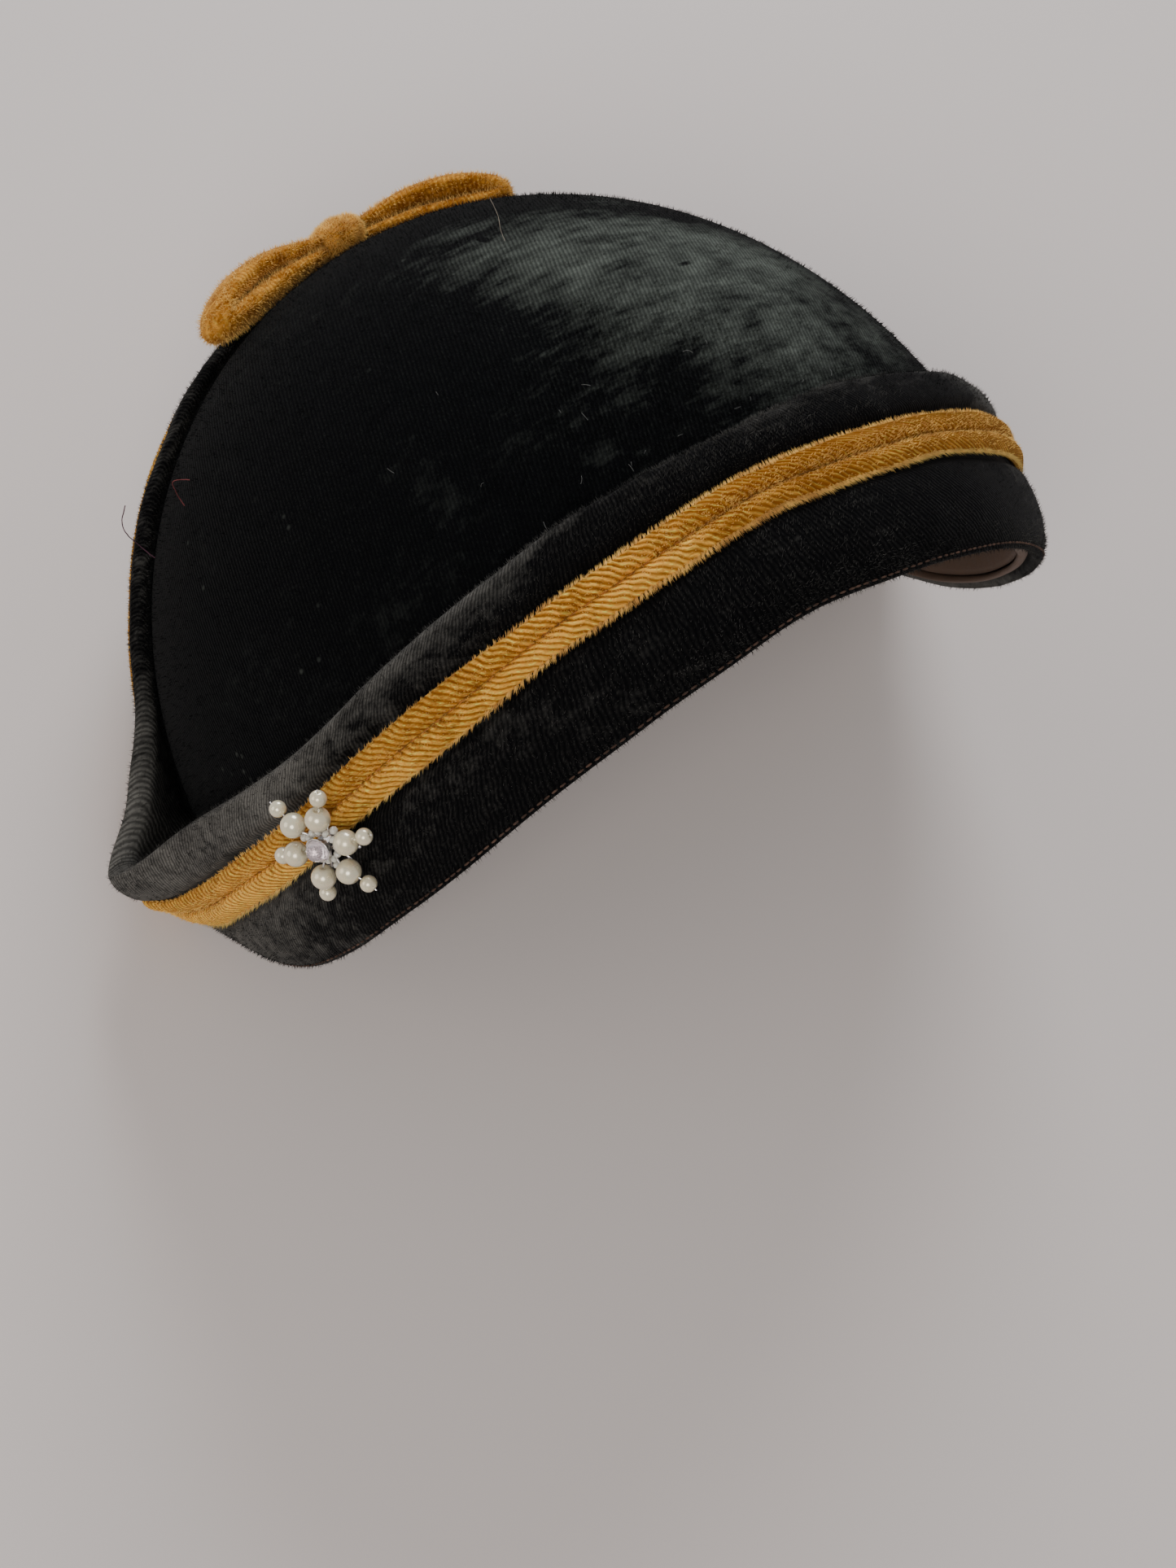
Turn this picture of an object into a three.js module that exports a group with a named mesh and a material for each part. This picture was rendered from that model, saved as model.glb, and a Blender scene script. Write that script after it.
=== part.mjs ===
// Half hat of black velvet: a stiff domed crown, a turned-up padded cuff, a gold velvet band
// round the cuff, a gold bow at the back and a pearl brooch at the wearer's right.
// Millimetres, +Z up. The front of the hat faces -Y and the wearer's left side is +X.
// The hat stands by itself on the two low corners of its cuff, leaning back a little.

import * as THREE from "three";

// Crown sizes
const crownLength = 203;
const crownBreadth = 175;
const crownHeight = 94;
const clothThickness = 2.6;
const seamGap = 0.4;

// Cuff sizes
const cuffWidth = 48;
const cuffPadding = 6.3;
const cornerFlare = 14;
const rimRise = 5;
const bindingWidth = 2.2;

// Gold velvet sizes
const bandThickness = 2.2;
const creaseDepth = 0.9;
const bowReach = 30;
const bowRise = 5.4;
const bowVelvetWidth = 11;
const bowVelvetThickness = 4.6;
const knotWidth = 9;

// Brooch sizes
const bigPearl = 4.7;
const smallPearl = 3.2;
const pearlGap = 0.1;
const bigPearlRadius = 6.5;
const crystalDiameter = 4.4;
const crystalHeight = 3;
const collarHeight = 1.8;
const plateThickness = 0.8;
const armWidth = 2;
const pinDiameter = 1;
const beadGap = 0.3;

// How the hat stands: it leans back, and its corners are pressed flat by their own weight
const leanBack = 20;
const pressedDepth = 3;

const aroundSteps = 72;
const rad = THREE.MathUtils.degToRad;
const deg = THREE.MathUtils.radToDeg;
const seatDepth = 0.6;
const seatMargin = 0.035;
const lerp = THREE.MathUtils.lerp;
const halfBreadth = crownBreadth / 2;
const halfLength = crownLength / 2;
const meanRadius = (halfBreadth + halfLength + crownHeight) / 3;

// The hem and the cuff, from the centre front (turn 0) round one side to the centre back (180).
// turn and hem are degrees: hem is the angle from the crown's top down to the fold.
// width, padding and flare are shares of cuffWidth, cuffPadding and cornerFlare.
// bandLow and bandHigh are the gold band's edges, as shares of the way from fold to free edge.
const cuffColumns = ["turn", "hem", "width", "padding", "flare", "bandLow", "bandHigh"];
const cuffRows = [
  [0, 43.3, 0.67, 0.92, 0, 0.545, 0.745],
  [15, 45.3, 0.72, 0.92, 0, 0.535, 0.735],
  [30, 50.4, 0.82, 0.86, 0, 0.525, 0.72],
  [45, 60.1, 0.99, 0.78, 0, 0.525, 0.715],
  [60, 76.4, 1.2, 0.76, 0, 0.512, 0.73],
  [68, 87, 1.26, 0.8, 0, 0.5, 0.728],
  [75, 95.4, 1.17, 0.84, 0.02, 0.475, 0.72],
  [83, 102.4, 1.03, 0.9, 0.07, 0.4, 0.67],
  [90, 106.2, 0.84, 0.94, 0.22, 0.27, 0.56],
  [97, 108.8, 0.55, 1.05, 0.72, 0.19, 0.51],
  [101, 110, 0.45, 1.05, 1, 0.19, 0.53],
  [107, 110.8, 0.55, 0.95, 0.44, 0.25, 0.57],
  [115, 109.6, 0.685, 0.76, 0.05, 0.35, 0.64],
  [124, 105, 0.8, 0.66, 0, 0.43, 0.69],
  [133, 98.8, 0.86, 0.64, 0, 0.47, 0.71],
  [143, 92.5, 0.92, 0.64, 0, 0.49, 0.72],
  [152, 88.5, 0.91, 0.64, 0, 0.5, 0.73],
  [163, 86.2, 0.86, 0.64, 0, 0.5, 0.73],
  [180, 85.5, 0.82, 0.64, 0, 0.5, 0.73],
];

// A smooth reading of the table at any turn, the same on both sides of the hat
function tableReader(rows, columns) {
  const size = columns.length - 1;
  const positions = rows.map((row) => row[0]);
  const values = rows.flatMap((row) => row.slice(1));
  const curve = new THREE.CubicInterpolant(positions, values, size);
  curve.settings = { endingStart: THREE.ZeroSlopeEnding, endingEnd: THREE.ZeroSlopeEnding };
  return (position) => {
    const found = curve.evaluate(position);
    return Object.fromEntries(columns.slice(1).map((name, i) => [name, found[i]]));
  };
}

const readCuff = tableReader(cuffRows, cuffColumns);
const cuffAt = (turn) => {
  const folded = Math.abs(THREE.MathUtils.euclideanModulo(turn + 180, 360) - 180);
  return readCuff(folded);
};

// A point on the worn hat: turn round from the front, angle down from the top, and how far
// it stands out from the crown's velvet
function shellPoint(turn, polar, out) {
  const sin = Math.sin(rad(polar));
  return new THREE.Vector3(
    (halfBreadth + out) * sin * Math.sin(rad(turn)),
    -(halfLength + out) * sin * Math.cos(rad(turn)),
    (crownHeight + out) * Math.cos(rad(polar)),
  );
}

// Angle down from the top, for a share of the way from the fold to the free edge
function cuffPolar(cuff, rise) {
  return cuff.hem - deg((rise * cuff.width * cuffWidth) / meanRadius);
}

// The inner and outer faces of the cuff, measured out from the crown
const flareRise = (rise) => 1 - (1 - rise) ** 2;
const innerFace = (cuff, rise) => seamGap + cuff.flare * cornerFlare * flareRise(rise);
const paddingAt = (cuff) => cuff.padding * cuffPadding;
const rimShare = (cuff) => rimRise / (cuff.width * cuffWidth);
const cuffPoint = (turn, cuff, rise, depth) =>
  shellPoint(turn, cuffPolar(cuff, rise), innerFace(cuff, rise) + depth * paddingAt(cuff));

// The cuff's section, once round: rise is a share of its width, depth a share of its padding.
// Below the crown's rim its inner face is sewn close to the crown, also where the cuff flares.
function cuffSection(cuff) {
  const { bandLow, bandHigh } = cuff;
  const bandMiddle = (bandLow + bandHigh) / 2;
  const lobe = bandLow - 2 * seatMargin;
  const rim = rimShare(cuff);
  const sewn = (rise) => [rise, (seamGap - innerFace(cuff, rise)) / paddingAt(cuff)];
  return [
    sewn(0.4 * rim), sewn(rim), [0.42, 0], [0.62, 0], [0.84, 0], [0.94, 0.05],
    [0.985, 0.25], [1, 0.52], [0.985, 0.8], [0.95, 0.98],
    [lerp(bandHigh, 0.95, 0.55), 1.02], [bandHigh + 2 * seatMargin, 0.9],
    [bandHigh + seatMargin, seatDepth], [bandHigh, seatDepth], [bandMiddle, seatDepth],
    [bandLow, seatDepth], [bandLow - seatMargin, seatDepth],
    [lobe, 0.8], [lobe * 0.78, 0.88], [lobe * 0.52, 0.86], [lobe * 0.3, 0.73],
    [lobe * 0.12, 0.55], [0, 0.3], [0.012, 0.14],
  ];
}

// From worn to standing: lean back, then rise until the corners are pressed by their weight
const leanAxis = new THREE.Vector3(1, 0, 0);
const leaned = (point) => point.clone().applyAxisAngle(leanAxis, -rad(leanBack));
const turns = Array.from({ length: aroundSteps }, (_, i) => (360 * i) / aroundSteps - 180);

function lowestOfCuff() {
  const heights = turns.flatMap((turn) => {
    const cuff = cuffAt(turn);
    return cuffSection(cuff).map(([rise, depth]) => leaned(cuffPoint(turn, cuff, rise, depth)).z);
  });
  return Math.min(...heights);
}
const standingHeight = -lowestOfCuff() - pressedDepth;

function settle(point) {
  const placed = leaned(point);
  placed.z = Math.max(placed.z + standingHeight, 0);
  return placed;
}

// Closed mesh from rings of points. Rings either close on each other or end in caps.
function ringMesh(rings, closed) {
  const perRing = rings[0].length;
  const positions = rings.flat().flatMap((p) => [p.x, p.y, p.z]);
  const index = [];
  const last = closed ? rings.length : rings.length - 1;
  for (let i = 0; i < last; i++) {
    const here = i * perRing;
    const next = ((i + 1) % rings.length) * perRing;
    for (let j = 0; j < perRing; j++) {
      const k = (j + 1) % perRing;
      index.push(here + j, next + j, next + k);
      index.push(here + j, next + k, here + k);
    }
  }
  if (!closed) {
    capRing(positions, index, rings[0], 0, false);
    capRing(positions, index, rings.at(-1), (rings.length - 1) * perRing, true);
  }
  return solidGeometry(positions, index);
}

function capRing(positions, index, ring, start, flipped) {
  const centre = ring.reduce((sum, p) => sum.add(p), new THREE.Vector3()).divideScalar(ring.length);
  const middle = positions.length / 3;
  positions.push(centre.x, centre.y, centre.z);
  for (let j = 0; j < ring.length; j++) {
    const k = (j + 1) % ring.length;
    if (flipped) index.push(middle, start + k, start + j);
    else index.push(middle, start + j, start + k);
  }
}

// Faces are turned outwards if the signed volume says that they point in
function solidGeometry(positions, index) {
  const corner = (i) => new THREE.Vector3().fromArray(positions, 3 * i);
  let volume = 0;
  for (let i = 0; i < index.length; i += 3) {
    volume += corner(index[i]).dot(corner(index[i + 1]).cross(corner(index[i + 2])));
  }
  if (volume < 0) index.reverse();
  const geometry = new THREE.BufferGeometry();
  geometry.setAttribute("position", new THREE.Float32BufferAttribute(positions, 3));
  geometry.setIndex(index);
  geometry.computeVertexNormals();
  return geometry;
}

const velvet = { color: 0x17191b, roughness: 0.85, metalness: 0 };
const cuffVelvet = { color: 0x26272a, roughness: 0.85, metalness: 0 };
const goldVelvet = { color: 0xc9822b, roughness: 0.7, metalness: 0 };
const bindingCloth = { color: 0x3a2418, roughness: 0.8, metalness: 0 };
const silver = { color: 0xc8c8cc, roughness: 0.3, metalness: 1 };
const pearl = { color: 0xeee6d6, roughness: 0.25, metalness: 0 };
const crystal = { color: 0xd8d0d8, roughness: 0.05, metalness: 0 };

const hat = new THREE.Group();

function addPiece(name, geometry, finish) {
  const mesh = new THREE.Mesh(geometry, new THREE.MeshStandardMaterial(finish));
  mesh.name = name;
  hat.add(mesh);
  return mesh;
}

// The crown: a velvet dome, open below, of one wall thickness. Above the cuff its rings are
// shares of the way down to the free edge, and behind the cuff they follow the cuff's inner face.
function crownGeometry() {
  const openShares = [0.1, 0.24, 0.39, 0.54, 0.69, 0.84];
  const coveredRises = [0.94, 0.84, 0.62, 0.42];
  const innerShares = [1, 0.86, 0.72, 0.58, 0.44, 0.3, 0.15];
  const rimPolar = (cuff) => cuffPolar(cuff, rimShare(cuff));
  const ring = (out, polarOf) =>
    turns.map((turn) => settle(shellPoint(turn, polarOf(cuffAt(turn)), out)));
  const rings = [
    ...openShares.map((share) => ring(0, (cuff) => share * cuffPolar(cuff, coveredRises[0]))),
    ...coveredRises.map((rise) => ring(0, (cuff) => cuffPolar(cuff, rise))),
    ring(0, rimPolar),
    ...innerShares.map((share) => ring(-clothThickness, (cuff) => share * rimPolar(cuff))),
  ];
  const positions = rings.flat().flatMap((p) => [p.x, p.y, p.z]);
  const index = [];
  for (let i = 0; i + 1 < rings.length; i++) {
    for (let j = 0; j < aroundSteps; j++) {
      const k = (j + 1) % aroundSteps;
      const here = i * aroundSteps;
      const next = here + aroundSteps;
      index.push(here + j, next + j, here + k);
      index.push(here + k, next + j, next + k);
    }
  }
  const addPole = (out, start, flipped) => {
    const pole = settle(shellPoint(0, 0, out));
    const middle = positions.length / 3;
    positions.push(pole.x, pole.y, pole.z);
    for (let j = 0; j < aroundSteps; j++) {
      const k = (j + 1) % aroundSteps;
      if (flipped) index.push(middle, start + k, start + j);
      else index.push(middle, start + j, start + k);
    }
  };
  addPole(0, 0, false);
  addPole(-clothThickness, (rings.length - 1) * aroundSteps, true);
  return solidGeometry(positions, index);
}

// The cuff: its padded section carried once round the hem
function cuffGeometry() {
  const rings = turns.map((turn) => {
    const cuff = cuffAt(turn);
    return cuffSection(cuff).map(([rise, depth]) => settle(cuffPoint(turn, cuff, rise, depth)));
  });
  return ringMesh(rings, true);
}

// The gold band: a folded strip in its seat on the cuff, with a crease along its middle.
// along is a share of the band's width and lift a share of its thickness.
function bandGeometry() {
  const crease = 1 - creaseDepth / bandThickness;
  const section = [
    [1, 0], [0.5, 0], [0, 0], [-0.03, 0.55], [0.12, 0.95],
    [0.28, 1], [0.5, crease], [0.72, 1], [0.88, 0.95], [1.03, 0.55],
  ];
  const rings = turns.map((turn) => {
    const cuff = cuffAt(turn);
    return section.map(([along, lift]) => {
      const rise = lerp(cuff.bandLow, cuff.bandHigh, along);
      const seat = innerFace(cuff, rise) + seatDepth * paddingAt(cuff) + seamGap;
      return settle(shellPoint(turn, cuffPolar(cuff, rise), seat + lift * bandThickness));
    });
  });
  return ringMesh(rings, true);
}

// The binding: a narrow rolled strip under the crown's rim, inside the fold
function bindingGeometry() {
  const section = Array.from({ length: 6 }, (_, i) => (Math.PI * (2 * i + 1)) / 6);
  const roll = bindingWidth / 2;
  const rings = turns.map((turn) => {
    const cuff = cuffAt(turn);
    const below = rimRise - seamGap - roll;
    return section.map((angle) => {
      const polar = cuff.hem - deg((below + roll * Math.sin(angle)) / meanRadius);
      return settle(shellPoint(turn, polar, -clothThickness / 2 + roll * Math.cos(angle)));
    });
  });
  return ringMesh(rings, true);
}

// The bow's loops: each is a padded strip that leaves the knot along the crown, turns over and
// comes back above itself. The columns are along and lift, shares of bowReach and bowRise, and
// full, the share of the strip's width and thickness that the gathers leave.
const bowRows = [
  [0, 0, 0.62],
  [0.16, 0, 0.78],
  [0.42, 0.01, 0.95],
  [0.72, 0.07, 1],
  [0.93, 0.25, 1],
  [1, 0.55, 1],
  [0.92, 0.86, 1],
  [0.7, 1, 1],
  [0.42, 0.9, 0.95],
  [0.16, 0.62, 0.78],
  [0, 0.5, 0.62],
];
const bowPolar = 55;
const bowTurn = 181.5;
const bowTilt = 4;
const bowSteps = 26;
const bowSectionSides = 8;

function bowPoint(side, along, out, across) {
  const radiusThere = halfBreadth * Math.sin(rad(bowPolar));
  const turn = bowTurn - side * deg((knotWidth / 2 + seamGap + along) / radiusThere);
  const slip = side * along * Math.tan(rad(bowTilt));
  return shellPoint(turn, bowPolar + deg((across + slip) / meanRadius), out);
}

function bowLoopGeometry(side) {
  const line = new THREE.CatmullRomCurve3(
    bowRows.map(([along, lift, full]) => new THREE.Vector3(along, lift, full)),
  );
  const flatCentre = (share) => {
    const p = line.getPoint(share);
    const base = seamGap + bowVelvetThickness / 2;
    return { along: p.x * bowReach, out: base + p.y * bowRise, full: p.z };
  };
  const rings = Array.from({ length: bowSteps + 1 }, (_, i) => {
    const share = i / bowSteps;
    const here = flatCentre(share);
    const before = flatCentre(Math.max(share - 0.01, 0));
    const after = flatCentre(Math.min(share + 0.01, 1));
    const run = new THREE.Vector2(after.along - before.along, after.out - before.out).normalize();
    return Array.from({ length: bowSectionSides }, (_, j) => {
      const angle = (2 * Math.PI * (j + 0.5)) / bowSectionSides;
      const thick = (Math.sin(angle) * bowVelvetThickness * here.full) / 2;
      const wide = (Math.cos(angle) * bowVelvetWidth * lerp(here.full, 1, 0.4)) / 2;
      return settle(bowPoint(side, here.along - thick * run.y, here.out + thick * run.x, wide));
    });
  });
  return ringMesh(rings, false);
}

// The knot: a short soft roll wrapped over the middle of the bow
function knotGeometry() {
  const height = bowRise * 0.5 + bowVelvetThickness * 1.1;
  const slices = [-1, -0.8, -0.4, 0, 0.4, 0.8, 1];
  const sides = 10;
  const rings = slices.map((slice) => {
    const full = Math.sqrt(1 - 0.45 * slice * slice);
    return Array.from({ length: sides }, (_, j) => {
      const angle = (2 * Math.PI * j) / sides;
      const out = seamGap + height / 2 + (height / 2) * full * Math.sin(angle);
      const across = (bowVelvetWidth / 2 + 1) * full * Math.cos(angle);
      return settle(bowPoint(1, (slice * knotWidth) / 2 - knotWidth / 2 - seamGap, out, across));
    });
  });
  return ringMesh(rings, false);
}

addPiece("crown", crownGeometry(), velvet);
addPiece("cuff", cuffGeometry(), cuffVelvet);
addPiece("hem_binding", bindingGeometry(), bindingCloth);
addPiece("gold_band", bandGeometry(), goldVelvet);
addPiece("bow_loop_right", bowLoopGeometry(-1), goldVelvet);
addPiece("bow_loop_left", bowLoopGeometry(1), goldVelvet);
addPiece("bow_knot", knotGeometry(), goldVelvet);

// The brooch: pearls and a stone on a six-armed plate, pinned over the band on the right.
// Its own frame lies on the cuff: x runs round the hat, y up the cuff and z out of it.
const broochTurn = -68.3;
const broochRise = 0.51;
const broochTwist = 36;
const broochNod = 9.5;
const broochSwing = 6.3;
const broochStand = 0.15;
const arms = 6;

const brooch = new THREE.Group();
placeBrooch();
hat.add(brooch);

function placeBrooch() {
  const at = (turn, rise) => {
    const cuff = cuffAt(turn);
    const face = innerFace(cuff, rise) + seatDepth * paddingAt(cuff) + seamGap + bandThickness;
    return leaned(shellPoint(turn, cuffPolar(cuff, rise), face));
  };
  const centre = at(broochTurn, broochRise);
  centre.z += standingHeight;
  const along = at(broochTurn + 5, broochRise).sub(at(broochTurn - 5, broochRise));
  const up = at(broochTurn, broochRise + 0.15).sub(at(broochTurn, broochRise - 0.15));
  const normal = new THREE.Vector3().crossVectors(along, up).normalize();
  const level = leaned(new THREE.Vector3(0, 0, 1)).cross(normal).normalize();
  const upright = new THREE.Vector3().crossVectors(normal, level);
  brooch.position.copy(centre);
  brooch.quaternion.setFromRotationMatrix(new THREE.Matrix4().makeBasis(level, upright, normal));
  brooch.rotateX(rad(broochNod));
  brooch.rotateY(rad(broochSwing));
  brooch.translateZ(broochStand);
}

function addToBrooch(name, geometry, finish, x, y, z) {
  const mesh = new THREE.Mesh(geometry, new THREE.MeshStandardMaterial(finish));
  mesh.name = name;
  mesh.position.set(x, y, z);
  brooch.add(mesh);
  return mesh;
}

const smallPearlRadius = bigPearlRadius + (bigPearl + smallPearl) / 2 + pearlGap;
const pinHeight = beadGap + pinDiameter / 2;
const plateHeight = pinDiameter + 2 * beadGap;
const beadSeat = plateHeight + plateThickness + beadGap;

const pin = new THREE.CylinderGeometry(pinDiameter / 2, pinDiameter / 2, 1.6 * smallPearlRadius, 8);
addToBrooch("brooch_pin", pin.rotateZ(Math.PI / 2), silver, 0, 0, pinHeight);

function plateShape() {
  const valley = armWidth * 1.3;
  const tip = smallPearlRadius + armWidth / 3;
  const corners = Array.from({ length: arms }, (_, i) => {
    const angle = rad(broochTwist) + (2 * Math.PI * i) / arms;
    const notch = angle - Math.PI / arms;
    const run = new THREE.Vector2(Math.cos(angle), Math.sin(angle)).multiplyScalar(tip);
    const side = new THREE.Vector2(-Math.sin(angle), Math.cos(angle)).multiplyScalar(armWidth / 2);
    const inner = new THREE.Vector2(Math.cos(notch), Math.sin(notch)).multiplyScalar(valley);
    return [inner, run.clone().sub(side), run.clone().add(side)];
  });
  return new THREE.Shape(corners.flat());
}
const plate = new THREE.ExtrudeGeometry(plateShape(), { depth: plateThickness, bevelEnabled: false });
addToBrooch("brooch_plate", plate, silver, 0, 0, plateHeight);

// The stone stands on a short round collar: a flat back, a belt, eight facets and a flat table
const collar = new THREE.CylinderGeometry(armWidth * 0.8, armWidth * 0.9, collarHeight, 10);
addToBrooch("brooch_collar", collar.rotateX(Math.PI / 2), silver, 0, 0, beadSeat + collarHeight / 2);

const stoneOutline = [
  [0, 0], [0.62, 0], [1, 0.3], [1, 0.42], [0.58, 1], [0, 1],
].map(([wide, high]) => new THREE.Vector2((wide * crystalDiameter) / 2, high * crystalHeight));
const stone = new THREE.LatheGeometry(stoneOutline, 8).rotateX(Math.PI / 2);
addToBrooch("brooch_crystal", stone, crystal, 0, 0, beadSeat + collarHeight + beadGap);

function addPearls(kind, diameter, radius) {
  for (let i = 0; i < arms; i++) {
    const angle = rad(broochTwist) + (2 * Math.PI * i) / arms;
    const bead = new THREE.SphereGeometry(diameter / 2, 10, 7).rotateX(Math.PI / 2);
    const x = radius * Math.cos(angle);
    const y = radius * Math.sin(angle);
    addToBrooch(`${kind}_${i + 1}`, bead, pearl, x, y, beadSeat + diameter / 2);
  }
}
addPearls("big_pearl", bigPearl, bigPearlRadius);
addPearls("small_pearl", smallPearl, smallPearlRadius);

// The origin is the middle of the whole hat, on the surface that it stands on
const bounds = new THREE.Box3().setFromObject(hat);
const middle = bounds.getCenter(new THREE.Vector3());
for (const piece of hat.children) {
  piece.position.x -= middle.x;
  piece.position.y -= middle.y;
}

export default hat;
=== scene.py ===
"""A half hat of black velvet, dressed for rendering: pile, weave, stitches, gold velvet and a
pearl brooch."""

import math

import bmesh
import bpy
import numpy as np
from bpy.props import FloatProperty, FloatVectorProperty, IntProperty, PointerProperty
from mathutils import Matrix, Vector


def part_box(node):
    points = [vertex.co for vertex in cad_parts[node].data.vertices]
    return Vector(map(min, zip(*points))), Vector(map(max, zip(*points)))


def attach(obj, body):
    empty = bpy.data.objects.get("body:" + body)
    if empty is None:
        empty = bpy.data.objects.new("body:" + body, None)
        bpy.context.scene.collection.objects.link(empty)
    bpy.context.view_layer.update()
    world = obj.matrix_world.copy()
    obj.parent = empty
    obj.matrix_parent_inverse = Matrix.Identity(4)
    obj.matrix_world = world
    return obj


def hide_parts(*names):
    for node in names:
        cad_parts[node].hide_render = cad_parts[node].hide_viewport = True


bl_info = {
    "name": "Velvet Half Hat",
    "version": (1, 0, 0),
    "blender": (4, 5, 0),
    "location": "View3D > Sidebar > Half Hat",
    "description": "Dresses the solid model of a velvet half hat: cloth, trimmings and brooch",
    "category": "Object",
}

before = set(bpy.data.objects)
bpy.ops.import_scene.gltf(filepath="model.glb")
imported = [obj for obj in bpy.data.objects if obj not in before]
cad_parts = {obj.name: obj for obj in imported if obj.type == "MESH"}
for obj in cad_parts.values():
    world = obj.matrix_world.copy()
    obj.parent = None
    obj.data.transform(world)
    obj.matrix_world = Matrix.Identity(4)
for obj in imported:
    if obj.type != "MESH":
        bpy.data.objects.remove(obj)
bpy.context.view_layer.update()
MM = 0.001

# Driving sizes of the worn hat, in millimetres. They repeat the solid model's own values.
HALF_BREADTH = 87.5
HALF_LENGTH = 101.5
CROWN_HEIGHT = 94.0
MEAN_RADIUS = (HALF_BREADTH + HALF_LENGTH + CROWN_HEIGHT) / 3
CLOTH = 2.6
SEAM_GAP = 0.4
CUFF_WIDTH = 48.0
CUFF_PADDING = 6.3
CORNER_FLARE = 14.0
RIM_RISE = 5.0
BINDING_WIDTH = 2.2
BAND_THICKNESS = 2.2
LEAN = 20.0
PRESSED = 3.0
SEAT_DEPTH = 0.6
SEAT_MARGIN = 0.035
CAD_TURNS = 72

# How many rings each roll has round the hat, and the crown's two layers, out from its velvet
CROWN_TURNS = 320
CUFF_TURNS = 720
BAND_TURNS = 1520
STITCH_TURNS = 2880
VELVET_UNDER = -1.5
LINING_TOP = -1.55

# One row for each place round the hem, from the front (0) to the back (180)
CUFF_COLUMNS = ("turn", "hem", "width", "padding", "flare", "low", "high")
CUFF_ROWS = np.array([
    (0, 43.3, 0.67, 0.92, 0, 0.545, 0.745),
    (15, 45.3, 0.72, 0.92, 0, 0.535, 0.735),
    (30, 50.4, 0.82, 0.86, 0, 0.525, 0.72),
    (45, 60.1, 0.99, 0.78, 0, 0.525, 0.715),
    (60, 76.4, 1.2, 0.76, 0, 0.512, 0.73),
    (68, 87, 1.26, 0.8, 0, 0.5, 0.728),
    (75, 95.4, 1.17, 0.84, 0.02, 0.475, 0.72),
    (83, 102.4, 1.03, 0.9, 0.07, 0.4, 0.67),
    (90, 106.2, 0.84, 0.94, 0.22, 0.27, 0.56),
    (97, 108.8, 0.55, 1.05, 0.72, 0.19, 0.51),
    (101, 110, 0.45, 1.05, 1, 0.19, 0.53),
    (107, 110.8, 0.55, 0.95, 0.44, 0.25, 0.57),
    (115, 109.6, 0.685, 0.76, 0.05, 0.35, 0.64),
    (124, 105, 0.8, 0.66, 0, 0.43, 0.69),
    (133, 98.8, 0.86, 0.64, 0, 0.47, 0.71),
    (143, 92.5, 0.92, 0.64, 0, 0.49, 0.72),
    (152, 88.5, 0.91, 0.64, 0, 0.5, 0.73),
    (163, 86.2, 0.86, 0.64, 0, 0.5, 0.73),
    (180, 85.5, 0.82, 0.64, 0, 0.5, 0.73),
], float)

# The bow's sizes, and its loops' line: shares of reach and rise, and how full the strip is
BOW_REACH = 30.0
BOW_RISE = 5.4
BOW_WIDTH = 12.4
BOW_THICKNESS = 5.3
KNOT_WIDTH = 9.0
BOW_POLAR = 55.0
BOW_TURN = 181.5
BOW_TILT = 4.0
BOW_ROWS = (
    (0, 0, 0.52), (0.16, 0, 0.72), (0.42, 0.01, 0.93), (0.72, 0.07, 1), (0.93, 0.25, 0.96),
    (1, 0.55, 0.9), (0.92, 0.86, 0.96), (0.7, 1, 1), (0.42, 0.9, 0.93), (0.16, 0.62, 0.72),
    (0, 0.5, 0.52),
)

# The gold band's section, as shares of its width and thickness, and its upper side alone
BAND_SECTION = (
    (1, 0), (0.5, 0), (0, 0), (-0.03, 0.5), (0.07, 0.88), (0.23, 1.18), (0.4, 0.9), (0.5, 0.36),
    (0.6, 0.9), (0.77, 1.18), (0.93, 0.88), (1.03, 0.5),
)
BAND_TOP = ((-0.03, 0.07, 0.23, 0.4, 0.5, 0.6, 0.77, 0.93, 1.03),
            (0.5, 0.88, 1.18, 0.9, 0.36, 0.9, 1.18, 0.88, 0.5))

# How far apart the band's ribs are, in millimetres, and its edges' tufts, in degrees
RIB_PITCH = 1.6
TUFT_STEP = 0.9
TUFT_SPREAD = 0.17 * TUFT_STEP
GOLD_FIBRE = (0.86, 0.43, 0.12)

# How thick single fibres of pile are, on black cloth, on the band and on the bow
BLACK_FIBRE_WIDTH = 0.13
BAND_FIBRE_WIDTH = 0.17
BOW_FIBRE_WIDTH = 0.13

# The brooch's sizes
ARMS = 6
BIG_PEARL = 4.7
SMALL_PEARL = 3.2
SMALL_PEARL_RADIUS = 6.5 + (BIG_PEARL + SMALL_PEARL) / 2 + 0.1
CRYSTAL_DIAMETER = 4.4
BROOCH_TWIST = 36.0
PIN_DROP = 1.9
PIN_REACH = 5.5
CRYSTAL_HEIGHT = 3.0

# Seed beads: how many, how far out, how high, their radius and how flat they are
SEED_RINGS = ((12, 3.05, 1.5, 0.75, 0.82), (ARMS, 4.45, 0.95, 0.8, 0.85))

# The wires of each arm: where they start and end (out, up) and their radius
ARM_WIRES = (
    ((0, -0.5), (6.6, -0.26), 0.26),
    ((2.4, 1.3), (4.4, 2.2), 0.2),
    ((8.4, 2.0), (9.8, 1.6), 0.2),
    ((SMALL_PEARL_RADIUS + SMALL_PEARL / 2 - 0.2, 1.6),
     (SMALL_PEARL_RADIUS + SMALL_PEARL / 2 + 0.2, 1.6), 0.17),
)

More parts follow.
